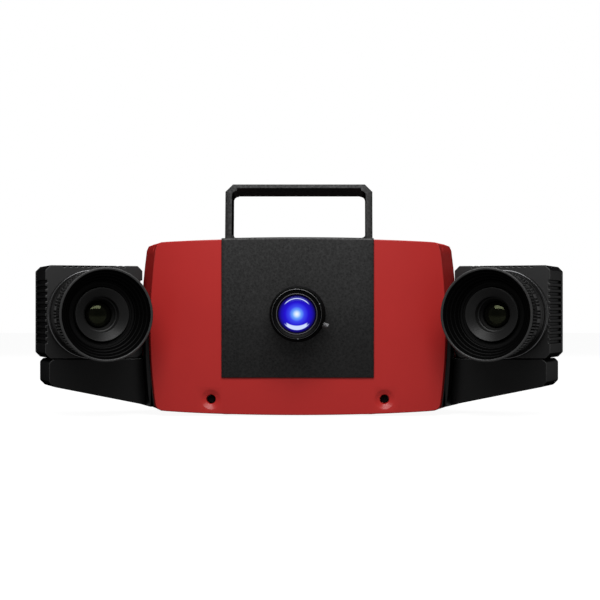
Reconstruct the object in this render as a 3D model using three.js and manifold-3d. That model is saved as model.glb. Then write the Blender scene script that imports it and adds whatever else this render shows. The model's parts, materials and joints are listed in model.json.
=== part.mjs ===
// A stereo three-d scanner: a red projector body with a black centre panel and a carrying
// handle, and two toed-in camera units on side arms. Millimetres, +Z up, the front looks
// along -Y. The origin lies under the middle of the whole object, on the surface that the
// base plate rests on.
import * as THREE from "three";
import { mergeVertices } from "three/addons/utils/BufferGeometryUtils.js";
import Module from "manifold-3d";

const wasm = await Module();
wasm.setup();

// Fits, overruns and the number of sides of round pieces
const seatGap = 0.3;
const turnGap = 0.4;
const joinOverlap = 1;
const fineness = 0.001;
const overrun = 6;
const weld = 0.0001;
const largeSides = 28;
const middleSides = 22;
const smallSides = 12;
const curveSteps = 4;

// Heights that the body, the arms and the optics share
const lensHeight = 102.3;
const cameraLensHeight = 101.8;

// Body: a barrel-shaped outline that flares towards the rear
const sideHalfWidth = 164.3;
const flareWidth = 15.3;
const taperWidth = 7.3;
const bodyBottom = 1;
const bodyHeight = 177;
const sideBow = 5.2;
const topBow = 3.2;
const bottomBow = 3.7;
const bodyCorner = 9;
const bodyWall = 3;
const coverFace = 1.9;
const coverDepth = 24;
const wingDepth = 10;
const flareDepth = 65;
const taperLength = 28;
const bodyDepth = 140;
const rearChamfer = 2.5;
const lipRoot = 6;
const lipReach = 5;
const lipWall = 2;

// Front panel: a plate on the cover's flat middle, bent back over the top
const panelHalfWidth = 76.25;
const panelBottom = 38.8;
const panelRise = 1.3;
const panelTopDepth = 48;
const flatMargin = 1.75;
const windowMargin = 14;

// Front cover's screws, deep in coned holes
const coverScrewX = 87;
const coverScrewZ = 16.8;
const dimpleRadius = 9.75;
const dimpleDepth = 4.5;
const screwBoreRadius = 4.1;
const screwSeatDepth = 14;
const screwBossRadius = 7;
const screwHeadRadius = 3.75;
const screwHeadHeight = 5;
const screwShankRadius = 2.5;
const screwGrip = 12;

// Chassis: the plate that ties the arms, the projector and the handle together
const chassisSideRoom = 24.3;
const chassisFront = 32;
const chassisRearRoom = 27.5;
const chassisBottom = 12;
const chassisThickness = 10;
const endBlockWidth = 12;
const endBlockRise = 2;
const uprightInner = 54;
const uprightWall = 6;
const uprightTab = 16;

// Base plate with its tripod socket
const baseHalfWidth = 80;
const baseFront = 30;
const baseRearRoom = 17.5;
const baseCorner = 6;
const socketRadius = 2.6;
const socketDepth = 8;
const fixingRadius = 2.1;
const fixingSpacingX = 120;
const fixingSpacingY = 60;

// Handle: one flat frame that leans back, with a thinned grip
const handleFront = 50;
const handleDepth = 32;
const handleTop = 236.8;
const handleLean = THREE.MathUtils.degToRad(7);
const legWidth = 7.1;
const gripThickness = 7.1;
const gripChamfer = 3.3;
const handleChamfer = 7.8;
const handleInnerRadius = 4.6;
const handleFootThickness = 3;
const handleScrewX = 50;
const handleScrewRadius = 3;
const handleScrewHeadRadius = 5;
const handleScrewHeadDepth = 2.2;
const handleScrewLength = 10;

// Projector lens
const flangeRadius = 28;
const flangeThickness = 6;
const spigotRadius = 23;
const bossRadius = 23.9;
const bossReach = 24;
const focusRingRadius = 26.4;
const focusRingRib = 0.5;
const focusRingBack = 7;
const focusRingFront = 23.5;
const tubeRadius = 20;
const tubeBore = 15;
const tubeBack = 26;
const collarRadius = 24.4;
const collarBack = 26.5;
const collarFront = 38;
const collarLip = 20.2;
const collarChamfer = 1;
const glassRadius = 18.2;
const glassSeat = 30;
const glassEdge = 3;
const glassRise = 3.2;
const lockAngle = THREE.MathUtils.degToRad(-22);
const lockAlong = 16;
const lockHeadRadius = 2.9;
const lockHeadFrom = 27.2;
const lockHeadTo = 33;
const lockStemRadius = 1.4;
const lockStemDepth = 1.6;
const projectorRibs = 24;

// Projector engine, heat sink and fan behind the lens
const engineHalfWidth = 44;
const engineFront = 8;
const sinkAirGap = 6.2;
const engineHalfHeight = 38;
const pedestalHalfWidth = 30;
const pedestalInset = 8;
const pedestalDepth = 40;
const lampRadius = 17;
const lampReach = 8;
const lampX = 40;
const lampSetback = 26;
const sinkHalfWidth = 36;
const sinkBase = 5;
const sinkDepth = 26;
const sinkFin = 2.4;
const finCount = 9;
const fanHalfWidth = 35;
const fanThickness = 15;
const fanBore = 32.5;
const fanHubRadius = 13;
const fanStrut = 4;
const fanStrutThickness = 3;
const fanAxleRadius = 2;
const fanTipGap = 1.2;
const bladeThickness = 1.6;
const bladeCount = 7;
const bladeTwist = THREE.MathUtils.degToRad(38);

// Rear panel and what it holds
const rearPanelRecess = 3.5;
const rearPanelThickness = 3;
const slotWidth = 3.6;
const slotPitch = 9;
const fanSlotCount = 7;
const ventSlotCount = 6;
const ventSlotHeight = 44;
const ventInset = 59;
const ventCentreZ = 122;
const portHeight = 58;
const portDepth = 15;
const portFlange = 2;
const portRim = 1.6;
const portRecess = 1.2;
const portInset = 45;
const portSpacing = 28;
const powerPortRadius = 10;
const networkPortRadius = 8.5;
const syncPortRadius = 7;
const switchHalfWidth = 7.5;
const switchHalfHeight = 11;
const switchWall = 1.6;
const switchDepth = 14;
const switchPivotDepth = 1.5;
const rockerTilt = THREE.MathUtils.degToRad(12);
const rockerCrown = 2.4;
const rockerBelly = 3.4;
const rockerEnd = 1.4;
const rockerEase = 1.4;

// Boards and supply beside the engine
const boardInnerRoom = 6;
const boardSideRoom = 16;
const boardFront = 38;
const boardRearRoom = 4;
const boardThickness = 1.6;
const boardStand = 4;
const standRadius = 3;
const standInset = 5;
const chipHalfWidth = 12;
const chipHeight = 3;
const plugWidth = 8;
const plugHeight = 9;
const supplyHeight = 40;
const supplySlotDepth = 2;
const supplySlotCount = 6;

// Camera housing: an extruded box with cooling grooves on three sides
const toeIn = THREE.MathUtils.degToRad(20);
const pivotReach = 53.7;
const pivotY = 54;
const housingHalfWidth = 49.5;
const housingHeight = 93.9;
const lensDrop = 2.75;
const housingFront = 33;
const housingDepth = 56;
const housingBackGap = 0.3;
const backThickness = 9.7;
const housingWall = 6;
const housingChamfer = 5;
const grooveCount = 11;
const groovePitch = 6.1;
const grooveWidth = 3;
const grooveDepth = 2;
const backRecess = 4;
const lensOffset = 3.5;
const sensorBoardHalfWidth = 35;
const sensorBoardHalfHeight = 31;
const sensorStand = 18;
const sensorHalfWidth = 12;
const sensorHalfHeight = 10;
const sensorHeight = 4;

// Camera lens, measured forwards from the housing's face
const mountBore = 19;
const mountSpigot = 24;
const mountRadius = 45.25;
const mountThickness = 8;
const mountChamfer = 1.3;
const barrelBore = 27;
const barrelRadius = 40;
const barrelFront = 48;
const irisRadius = 44.2;
const irisThickness = 6;
const irisChamfer = 0.9;
const focusRadius = 43.4;
const focusRibBack = 31;
const focusFront = 46;
const gripRib = 0.8;
const gripRibs = 30;
const gripDepth = 0.5;
const cellRadius = 26.5;
const cellBack = 20;
const cellFront = 58;
const cellMouth = 22;
const cellWaist = 17.5;
const cellWaistAlong = 45;
const cellShoulder = 38;
const cellBore = 13.5;
const lensGlassRadius = 13.2;
const lensGlassBack = 31;
const lensGlassFront = 38;
const lensGlassRise = 2.4;
const hoodFront = 79;
const hoodRootRadius = 43.6;
const hoodGripRadius = 44.3;
const hoodGripBack = 50;
const hoodGripFront = 76;
const hoodRimRadius = 45.75;
const hoodRimWall = 2.3;
const hoodBoreRadius = 27.7;
const hoodStepRadius = 34.5;
const hoodStepRise = 1.5;
const hoodStepRun = 3;
const hoodStepCount = 3;
const hoodFloor = 2.5;

// Arm: a tapered beam under the camera, with a flange on the body's side
const armGap = 1;
const armInset = 4;
const armSetback = 1;
const armDepth = 60;
const armLength = 125;
const armEndHeight = 28;
const armTopChamfer = 3.5;
const armBottomChamfer = 5;
const armSlopeRun = 95.3;
const flangePlate = 1.9;
const flangeFront = 19;
const flangeOverlap = 2;
const flangeBottom = 8.3;
const cheekThickness = 4;
const cheekBack = 36;
const cheekTop = 84;
const tongueFront = 48;
const tongueDepth = 44;
const tongueBottom = 20;
const tongueDrop = 6.6;
const tongueProud = 1.3;
const padRadius = 28;
const boltRadius = 4;
const boltHeadRadius = 7;
const boltHeadHeight = 8;
const boltGrip = 18.6;
const boltHeadGap = 1;
const boltEngage = 4.6;

// Places that follow from those sizes: the body first, then what it holds
const frontHalfWidth = sideHalfWidth - flareWidth;
const rearHalfWidth = sideHalfWidth - taperWidth;
const taperDepth = bodyDepth - taperLength;
const bodyTop = bodyBottom + bodyHeight;
const rearPanelBack = bodyDepth - rearPanelRecess;
const rearPanelFront = rearPanelBack - rearPanelThickness;
const chassisHalfWidth = sideHalfWidth - chassisSideRoom;
const chassisTop = chassisBottom + chassisThickness;
const chassisBack = rearPanelFront - chassisRearRoom;
const baseBack = rearPanelFront - baseRearRoom;
const fanBack = rearPanelFront - seatGap;
const fanFront = fanBack - fanThickness;
const engineBack = fanFront - sinkAirGap - sinkDepth;
const pedestalBack = engineBack - pedestalInset;
const pedestalFront = pedestalBack - pedestalDepth;
const lampY = engineBack - lampSetback;
const boardOuter = chassisHalfWidth - boardSideRoom;
const boardInner = uprightInner + uprightWall + boardInnerRoom;
const boardBack = chassisBack - boardRearRoom;
const ventCentreX = rearHalfWidth - ventInset;
const powerPortX = rearHalfWidth - portInset;
const switchX = powerPortX - portSpacing;
const networkPortX = -powerPortX;
const syncPortX = -switchX;

// The cameras and their arms, from the height of the lenses
const pivotX = sideHalfWidth + pivotReach;
const housingBottom = cameraLensHeight + lensDrop - housingHeight / 2;
const housingBack = housingDepth - housingFront;
const armTop = housingBottom - armGap;
const armEndBottom = armTop - armEndHeight;
const boltSeat = armTop - boltGrip;
const flangeBack = chassisBack + flangeOverlap;
const tongueBack = tongueFront + tongueDepth;
const tongueTop = armTop - tongueDrop;
const tongueReach = sideHalfWidth + tongueProud;
const endBlockTop = tongueTop + endBlockRise;
const hoodReach =
  (housingFront + hoodFront) * Math.cos(toeIn) +
  lensOffset * Math.sin(toeIn) +
  hoodRimRadius * Math.sin(toeIn);
const originY = (bodyDepth + pivotY - hoodReach) / 2;

// Finishes
const finishes = {
  red: { color: 0xa82c2a, roughness: 0.5, metalness: 0.1 },
  blackGrain: { color: 0x1e1e1f, roughness: 0.75, metalness: 0 },
  blackMetal: { color: 0x161617, roughness: 0.45, metalness: 0.3 },
  blackPlastic: { color: 0x101011, roughness: 0.6, metalness: 0 },
  rubber: { color: 0x1b1b1c, roughness: 0.9, metalness: 0 },
  aluminium: { color: 0xb4b7ba, roughness: 0.4, metalness: 0.9 },
  steel: { color: 0x8f9296, roughness: 0.35, metalness: 0.9 },
  board: { color: 0x1f5a35, roughness: 0.6, metalness: 0 },
  glass: { color: 0x223040, roughness: 0.05, metalness: 0 },
  blueGlass: { color: 0x3355ff, roughness: 0.05, metalness: 0 },
};

// Solids from geometry, and back
function solid(geometry) {
  const bare = geometry.index ? geometry.toNonIndexed() : geometry.clone();
  bare.deleteAttribute("normal");
  bare.deleteAttribute("uv");
  const merged = mergeVertices(bare, weld);
  return new wasm.Manifold(
    new wasm.Mesh({
      numProp: 3,
      vertProperties: merged.attributes.position.array,
      triVerts: new Uint32Array(merged.index.array),
    }),
  );
}

function geometryOf(body) {
  const { numProp, vertProperties, triVerts } = body.asOriginal().simplify(fineness).getMesh();
  const indexed = new THREE.BufferGeometry();
  indexed.setAttribute("position", new THREE.BufferAttribute(vertProperties, numProp));
  indexed.setIndex(new THREE.BufferAttribute(triVerts, 1));
  const geometry = indexed.toNonIndexed();
  geometry.computeVertexNormals();
  return geometry;
}

function piece(name, shape, finish) {
  const geometry = shape.isBufferGeometry ? shape : geometryOf(shape);
  const mesh = new THREE.Mesh(geometry, new THREE.MeshStandardMaterial(finishes[finish]));
  mesh.name = name;
  return mesh;
}

// Shapes that the pieces share
function block(low, high) {
  const size = high.map((value, axis) => value - low[axis]);
  const centre = high.map((value, axis) => (value + low[axis]) / 2);
  return solid(new THREE.BoxGeometry(...size).translate(...centre));
}

// A profile of radius and distance along, turned about the axis that points up or forwards
function turned(profile, sides, forwards = true) {
  const points = profile.map(([radius, along]) => new THREE.Vector2(radius, along));
  const closed = profile[0][0] > 0 ? [...points, points[0].clone()] : points;
  const ordered = THREE.ShapeUtils.area(points) < 0 ? closed.reverse() : closed;
  return new THREE.LatheGeometry(ordered, sides).rotateX(forwards ? Math.PI : Math.PI / 2);
}

function rod(radius, from, to, sides, forwards = true) {
  const profile = [
    [0, from],
    [radius, from],
    [radius, to],
    [0, to],
  ];
  return turned(profile, sides, forwards);
}

// An outline across X and Z, extruded from the front plane to the back plane
function slab(shape, front, back) {
  const settings = { depth: back - front, bevelEnabled: false, curveSegments: curveSteps };
  return new THREE.ExtrudeGeometry(shape, settings)
    .rotateX(Math.PI / 2)
    .translate(0, back, 0);
}

// Walls between outlines of the same number of points, closed by a cap at each end
function loft(sections) {
  const count = sections[0].points.length;
  const positions = sections.flatMap(({ y, points }) => points.flatMap((p) => [p.x, y, p.y]));
  const front = THREE.ShapeUtils.triangulateShape(sections[0].points, []);
  const last = (sections.length - 1) * count;
  const back = THREE.ShapeUtils.triangulateShape(sections.at(-1).points, []);
  const faces = [...front, ...back.map(([a, b, c]) => [c + last, b + last, a + last])];
  for (let ring = 0; ring < last; ring += count) {
    for (let i = 0; i < count; i += 1) {
      const a = ring + i;
      const b = ring + ((i + 1) % count);
      faces.push([a, a + count, b], [b, a + count, b + count]);
    }
  }
  const geometry = new THREE.BufferGeometry();
  geometry.setAttribute("position", new THREE.Float32BufferAttribute(positions, 3));
  geometry.setIndex(faces.flat());
  return solid(geometry);
}

// The body's bowed outline at one depth, grown outwards by a margin
function bodyOutline(halfWidth, grow) {
  const side = halfWidth + grow;
  const cornerX = side - sideBow;
  const top = bodyTop + grow;
  const bottom = bodyBottom - grow;
  const topZ = top - topBow;
  const bottomZ = bottom + bottomBow;
  const radius = bodyCorner + Math.min(grow, 0);
  const middle = (top + bottom) / 2;
  const bulge = side + sideBow;
  const shape = new THREE.Shape();
  shape.moveTo(radius - cornerX, bottomZ);
  shape.quadraticCurveTo(0, bottom - bottomBow, cornerX - radius, bottomZ);
  shape.quadraticCurveTo(cornerX, bottomZ, cornerX, bottomZ + radius);
  shape.quadraticCurveTo(bulge, middle, cornerX, topZ - radius);
  shape.quadraticCurveTo(cornerX, topZ, cornerX - radius, topZ);
  shape.quadraticCurveTo(0, top + topBow, radius - cornerX, topZ);
  shape.quadraticCurveTo(-cornerX, topZ, -cornerX, topZ - radius);
  shape.quadraticCurveTo(-bulge, middle, -cornerX, bottomZ + radius);
  shape.quadraticCurveTo(-cornerX, bottomZ, radius - cornerX, bottomZ);
  return shape.getPoints(curveSteps).slice(0, -1);
}

function bodyHalfWidth(y) {
  const edge = coverFace + wingDepth;
  if (y <= flareDepth) {
    return THREE.MathUtils.mapLinear(y, edge, flareDepth, frontHalfWidth, sideHalfWidth);
  }
  if (y <= taperDepth) {
    return sideHalfWidth;
  }
  return THREE.MathUtils.mapLinear(y, taperDepth, bodyDepth, sideHalfWidth, rearHalfWidth);
}

// The body's form between two depths, as one solid
function bodyForm(grow, from, to) {
  const breaks = [flareDepth, taperDepth].filter((y) => y > from && y < to);
  const depths = [from, ...breaks, to];
  return loft(depths.map((y) => ({ y, points: bodyOutline(bodyHalfWidth(y), grow) })));
}

// Everything behind the cover's front: flat in the middle, curved back in both wings
function behindFront(grow) {
  const flat = panelHalfWidth + flatMargin;
  const reach = sideHalfWidth + overrun;
  const face = coverFace - grow;
  const run = frontHalfWidth - flat;
  const end = face + wingDepth * ((reach - flat) / run) ** 2;
  const shape = new THREE.Shape();
  shape.moveTo(-reach, bodyDepth);
  shape.lineTo(-reach, end);
  shape.quadraticCurveTo(-(reach + flat) / 2, face, -flat, face);
  shape.lineTo(flat, face);
  shape.quadraticCurveTo((reach + flat) / 2, face, reach, end);
  shape.lineTo(reach, bodyDepth);
  const settings = {
    depth: bodyHeight + 2 * overrun,
    bevelEnabled: false,
    curveSegments: 2 * curveSteps,
  };
  const geometry = new THREE.ExtrudeGeometry(shape, settings);
  return solid(geometry.translate(0, 0, bodyBottom - overrun));
}

// Front cover: a shell with a lip for the body shell, a window and two screw bosses
function frontCover() {
  const lipBack = coverDepth + lipReach;
  const outside = bodyForm(0, -overrun, coverDepth).intersect(behindFront(0));
  const cavity = bodyForm(-bodyWall, -overrun, coverDepth - lipRoot);
  const hollow = cavity.intersect(behindFront(-bodyWall));
  const lip = bodyForm(-bodyWall - seatGap, coverDepth - lipRoot, lipBack);
  const throat = bodyForm(-bodyWall - lipWall, coverDepth - lipRoot - joinOverlap, lipBack + overrun);
  const windowHalfWidth = panelHalfWidth - windowMargin;
  const window = block(
    [-windowHalfWidth, -overrun, panelBottom + windowMargin],
    [windowHalfWidth, lipRoot, bodyTop - windowMargin],
  );
  let cover = outside.add(lip).subtract(throat).subtract(hollow).subtract(window);
  for (const side of [-1, 1]) {
    const place = [side * coverScrewX, coverFace, coverScrewZ];
    const boss = rod(screwBossRadius, -(chassisFront - coverFace - seatGap), -joinOverlap, smallSides);
    const bore = turned(
      [
        [0, overrun],
        [dimpleRadius, overrun],
        [dimpleRadius, 0],
        [screwBoreRadius, -dimpleDepth],
        [screwBoreRadius, -screwSeatDepth],
        [screwShankRadius + seatGap, -screwSeatDepth],
        [screwShankRadius + seatGap, -chassisFront],
        [0, -chassisFront],
      ],
      middleSides,
    );
    cover = cover.add(solid(boss.translate(...place))).subtract(solid(bore.translate(...place)));
  }
  return piece("front_cover", cover, "red");
}

function coverScrew(side, name) {
  const profile = [
    [0, screwHeadHeight - screwSeatDepth],
    [screwHeadRadius, screwHeadHeight - screwSeatDepth],
    [screwHeadRadius, seatGap - screwSeatDepth],
    [screwShankRadius, seatGap - screwSeatDepth],
    [screwShankRadius, coverFace - chassisFront - screwGrip],
    [0, coverFace - chassisFront - screwGrip],
  ];
  const screw = piece(name, turned(profile, smallSides), "steel");
  screw.position.set(side * coverScrewX, coverFace, coverScrewZ);
  return screw;
}

// Front panel: one plate, flat in front and bent back over the top of the body
function frontPanel() {
  const form = bodyForm(panelRise, 0, panelTopDepth);
  const strip = block(
    [-panelHalfWidth, 0, panelBottom],
    [panelHalfWidth, panelTopDepth, bodyTop + overrun],
  );
  const within = bodyForm(seatGap, -overrun, bodyDepth).intersect(behindFront(seatGap));
  const hole = rod(spigotRadius + seatGap, -overrun, overrun, largeSides);
  const panel = form
    .intersect(strip)
    .subtract(within)
    .subtract(solid(hole.translate(0, 0, lensHeight)));
  return piece("front_panel", panel, "blackGrain");
}

// Body shell: the flared tube behind the cover, open at both ends
function bodyShell() {
  const front = coverDepth + seatGap;
  const chamferFrom = bodyDepth - rearChamfer;
  const rearPoints = bodyOutline(bodyHalfWidth(bodyDepth), -rearChamfer);
  const outside = bodyForm(0, front, chamferFrom);
  const rear = loft([
    { y: chamferFrom, points: bodyOutline(bodyHalfWidth(chamferFrom), 0) },
    { y: bodyDepth, points: rearPoints },
  ]);
  const hollow = bodyForm(-bodyWall, front - overrun, bodyDepth + overrun);
  const baseHole = block(
    [-baseHalfWidth - seatGap, baseFront - seatGap, -overrun],
    [baseHalfWidth + seatGap, baseBack + seatGap, chassisBottom],
  );
  let shell = outside.add(rear).subtract(hollow).subtract(baseHole);
  for (const side of [-1, 1]) {
    const ends = [side * chassisHalfWidth, side * (sideHalfWidth + overrun)];
    shell = shell
      .subtract(
        block(
          [Math.min(...ends), tongueFront - seatGap, tongueBottom - seatGap],
          [Math.max(...ends), tongueBack + seatGap, tongueTop + seatGap],
        ),
      )
      .subtract(handleScrewBore(side));
  }
  return piece("body_shell", shell, "red");
}

// Chassis: a plate with end blocks for the arms and uprights under the handle
function chassis() {
  const plate = block(
    [-chassisHalfWidth, chassisFront, chassisBottom],
    [chassisHalfWidth, chassisBack, chassisTop],
  );
  const within = bodyForm(-bodyWall - seatGap, coverDepth, bodyDepth);
  let frame = plate;
  for (const side of [-1, 1]) {
    const across = (near, far, front, back, low, high) =>
      block(
        [Math.min(side * near, side * far), front, low],
        [Math.max(side * near, side * far), back, high],
      );
    const handleBack = handleFront + handleDepth;
    const wallOuter = uprightInner + uprightWall;
    const endInner = chassisHalfWidth - endBlockWidth;
    frame = frame
      .add(across(endInner, chassisHalfWidth, tongueFront, tongueBack, chassisBottom, endBlockTop))
      .add(across(uprightInner, wallOuter, handleFront, handleBack, chassisBottom, bodyTop))
      .add(
        across(
          wallOuter - uprightTab,
          wallOuter,
          handleFront,
          handleBack,
          bodyTop - bodyWall - seatGap - uprightWall,
          bodyTop,
        ),
      );
    const screwHole = rod(screwShankRadius + seatGap, -overrun - screwGrip, overrun, smallSides);
    screwHole.translate(side * coverScrewX, chassisFront, coverScrewZ);
    frame = frame.subtract(solid(screwHole)).subtract(handleScrewBore(side));
  }
  return piece("chassis", frame.intersect(within), "aluminium");
}

// Base plate: fills the opening under the body and carries the chassis
function basePlate() {
  const shape = new THREE.Shape();
  const inner = baseHalfWidth - baseCorner;
  const halfDepth = (baseBack - baseFront) / 2;
  const innerDepth = halfDepth - baseCorner;
  shape.moveTo(-inner, -halfDepth);
  shape.lineTo(inner, -halfDepth);
  shape.lineTo(baseHalfWidth, -innerDepth);
  shape.lineTo(baseHalfWidth, innerDepth);
  shape.lineTo(inner, halfDepth);
  shape.lineTo(-inner, halfDepth);
  shape.lineTo(-baseHalfWidth, innerDepth);
  shape.lineTo(-baseHalfWidth, -innerDepth);
  const settings = { depth: chassisBottom - seatGap, bevelEnabled: false };
  let plate = solid(new THREE.ExtrudeGeometry(shape, settings));
  const socket = rod(socketRadius, -overrun, socketDepth, smallSides, false);
  plate = plate.subtract(solid(socket));
  for (const x of [-fixingSpacingX / 2, fixingSpacingX / 2]) {
    for (const y of [-fixingSpacingY / 2, fixingSpacingY / 2]) {
      const hole = rod(fixingRadius, -overrun, socketDepth, smallSides, false);
      plate = plate.subtract(solid(hole.translate(x, y, 0)));
    }
  }
  const mesh = piece("base_plate", plate, "blackMetal");
  mesh.position.y = (baseFront + baseBack) / 2;
  return mesh;
}

// Handle: a closed frame, cut to the body's top, with a chamfered grip
function handleScrewBore(side) {
  const bore = rod(handleScrewRadius + seatGap, -handleScrewLength - overrun, overrun, smallSides, false);
  return solid(bore.translate(side * handleScrewX, handleFront + handleDepth / 2, bodyTop));
}

function handle() {
  const foot = bodyTop + handleFootThickness;
  const low = bodyTop - topBow - seatGap;
  const high = low + (handleTop - low) / Math.cos(handleLean);
  const inner = panelHalfWidth - legWidth;
  const gripLow = high - gripThickness;
  const outline = new THREE.Shape();
  outline.moveTo(-panelHalfWidth, low - overrun);
  outline.lineTo(panelHalfWidth, low - overrun);
  outline.lineTo(panelHalfWidth, high - handleChamfer);
  outline.lineTo(panelHalfWidth - handleChamfer, high);
  outline.lineTo(handleChamfer - panelHalfWidth, high);
  outline.lineTo(-panelHalfWidth, high - handleChamfer);
  const r = handleInnerRadius;
  const opening = new THREE.Path();
  opening.moveTo(r - inner, foot);
  opening.lineTo(inner - r, foot);
  opening.absarc(inner - r, foot + r, r, -Math.PI / 2, 0);
  opening.absarc(inner - r, gripLow - r, r, 0, Math.PI / 2);
  opening.absarc(r - inner, gripLow - r, r, Math.PI / 2, Math.PI);
  opening.absarc(r - inner, foot + r, r, Math.PI, (3 * Math.PI) / 2);
  outline.holes.push(opening);
  const lean = (geometry) =>
    geometry
      .translate(0, 0, -low)
      .rotateX(-handleLean)
      .translate(0, handleFront, low);
  let frame = solid(lean(slab(outline, 0, handleDepth)));
  for (const y of [0, handleDepth]) {
    const cut = new THREE.Shape();
    cut.moveTo(y - gripChamfer, gripLow);
    cut.lineTo(y, gripLow + gripChamfer);
    cut.lineTo(y + gripChamfer, gripLow);
    cut.lineTo(y, gripLow - gripChamfer);
    const reach = inner - r;
    const prism = new THREE.ExtrudeGeometry(cut, { depth: 2 * reach, bevelEnabled: false });
    prism.rotateZ(Math.PI / 2).rotateY(Math.PI / 2).translate(-reach, 0, 0);
    frame = frame.subtract(solid(lean(prism)));
  }
  const footPlate = block(
    [-inner - joinOverlap, handleFront, low],
    [inner + joinOverlap, handleFront + handleDepth, foot],
  );
  const body = bodyForm(seatGap, -overrun, bodyDepth);
  const below = block(
    [-sideHalfWidth, -overrun, -overrun],
    [sideHalfWidth, bodyDepth, bodyTop - topBow - seatGap],
  );
  frame = frame.add(footPlate).subtract(body).subtract(below);
  for (const side of [-1, 1]) {
    frame = frame.subtract(handleScrewBore(side));
    const seat = rod(
      handleScrewHeadRadius + seatGap,
      handleFootThickness - handleScrewHeadDepth,
      handleFootThickness + overrun / 2,
      smallSides,
      false,
    );
    seat.translate(side * handleScrewX, handleFront + handleDepth / 2, bodyTop);
    frame = frame.subtract(solid(seat));
  }
  return piece("handle", frame, "blackGrain");
}

function handleScrew(side, name) {
  const headLow = handleFootThickness - handleScrewHeadDepth + seatGap;
  const profile = [
    [0, handleFootThickness],
    [handleScrewHeadRadius, handleFootThickness],
    [handleScrewHeadRadius, headLow],
    [handleScrewRadius, headLow],
    [handleScrewRadius, -handleScrewLength],
    [0, -handleScrewLength],
  ];
  const screw = piece(name, turned(profile, smallSides, false), "steel");
  screw.position.set(side * handleScrewX, handleFront + handleDepth / 2, bodyTop);
  return screw;
}

// A ring whose outside carries ribs along its axis
function ribbedRing(inner, outer, rib, ribs, back, front) {
  const shape = new THREE.Shape();
  for (let i = 0; i < 2 * ribs; i += 1) {
    const angle = (i * Math.PI) / ribs;
    const radius = i % 2 ? outer : outer + rib;
    const place = [radius * Math.cos(angle), radius * Math.sin(angle)];
    if (i) shape.lineTo(...place);
    else shape.moveTo(...place);
  }
  const bore = new THREE.Path();
  bore.absarc(0, 0, inner, 0, 2 * Math.PI);
  shape.holes.push(bore);
  const settings = { depth: front - back, bevelEnabled: false, curveSegments: middleSides };
  return new THREE.ExtrudeGeometry(shape, settings).translate(0, 0, back).rotateX(Math.PI / 2);
}

// Projector lens: a flange on the panel, a focus ring that turns on its boss,
// and a tube that slides in it
function projectorFlange() {
  const profile = [
    [tubeRadius + turnGap, seatGap - engineFront],
    [spigotRadius, seatGap - engineFront],
    [spigotRadius, seatGap],
    [flangeRadius, seatGap],
    [flangeRadius, flangeThickness],
    [bossRadius, flangeThickness],
    [bossRadius, bossReach],
    [tubeRadius + turnGap, bossReach],
  ];
  return piece("projector_flange", turned(profile, middleSides), "blackMetal");
}

function projectorFocusRing() {
  const ring = solid(
    ribbedRing(
      bossRadius + turnGap,
      focusRingRadius,
      focusRingRib,
      projectorRibs,
      focusRingBack,
      focusRingFront,
    ),
  );
  const hole = rod(lockStemRadius + seatGap, 0, lockHeadTo, smallSides);
  hole.rotateZ(Math.PI / 2).rotateY(-lockAngle).translate(0, -lockAlong, 0);
  return piece("projector_focus_ring", ring.subtract(solid(hole)), "blackMetal");
}

function projectorLockScrew() {
  const stemFrom = bossRadius + turnGap + seatGap;
  const profile = [
    [0, stemFrom],
    [lockStemRadius, stemFrom],
    [lockStemRadius, lockHeadFrom],
    [lockHeadRadius, lockHeadFrom],
    [lockHeadRadius, lockHeadTo - lockStemDepth],
    [lockStemRadius, lockHeadTo],
    [0, lockHeadTo],
  ];
  const screw = turned(profile, smallSides).rotateZ(Math.PI / 2).rotateY(-lockAngle);
  return piece("projector_lock_screw", screw.translate(0, -lockAlong, 0), "blackMetal");
}

function projectorTube() {
  const profile = [
    [tubeBore, -tubeBack],
    [tubeRadius, -tubeBack],
    [tubeRadius, collarBack],
    [collarRadius, collarBack],
    [collarRadius, collarFront - collarChamfer],
    [collarRadius - collarChamfer, collarFront],
    [collarLip, collarFront],
    [glassRadius + seatGap, collarFront - glassEdge],
    [glassRadius + seatGap, glassSeat],
    [tubeBore, glassSeat],
  ];
  return piece("projector_tube", turned(profile, middleSides), "blackMetal");
}

// A lens with a flat back, a short edge and a domed front
function lensGlass(radius, back, edge, rise, sides) {
  const profile = [[0, back]];
  profile.push([radius, back]);
  const steps = 3;
  for (let i = 0; i <= steps; i += 1) {
    const share = i / steps;
    const along = back + edge + rise * Math.sin((share * Math.PI) / 2);
    profile.push([i === steps ? 0 : radius * Math.cos((share * Math.PI) / 2), along]);
  }
  return turned(profile, sides);
}

function projectorLens() {
  const seat = glassSeat + seatGap;
  const glass = lensGlass(glassRadius, seat, glassEdge, glassRise, middleSides);
  const group = new THREE.Group();
  group.position.z = lensHeight;
  group.add(projectorFlange(), projectorFocusRing(), projectorLockScrew(), projectorTube());
  group.add(piece("projector_glass", glass, "blueGlass"));
  return group;
}

// Projector engine on its pedestal, with the lamp module on one side
function projectorEngine() {
  const low = lensHeight - engineHalfHeight;
  const high = lensHeight + engineHalfHeight;
  const box = block([-engineHalfWidth, engineFront, low], [engineHalfWidth, engineBack, high]);
  const pedestal = block(
    [-pedestalHalfWidth, pedestalFront, chassisTop + seatGap],
    [pedestalHalfWidth, pedestalBack, low + joinOverlap],
  );
  const lamp = rod(lampRadius, 0, engineHalfHeight + lampReach, smallSides, false);
  lamp.translate(lampX - engineHalfWidth / 2, lampY, lensHeight);
  const bore = rod(tubeRadius + turnGap, -tubeBack - overrun, 0, middleSides);
  const engine = box
    .add(pedestal)
    .add(solid(lamp))
    .subtract(solid(bore.translate(0, 0, lensHeight)));
  return piece("projector_engine", engine, "aluminium");
}

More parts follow.
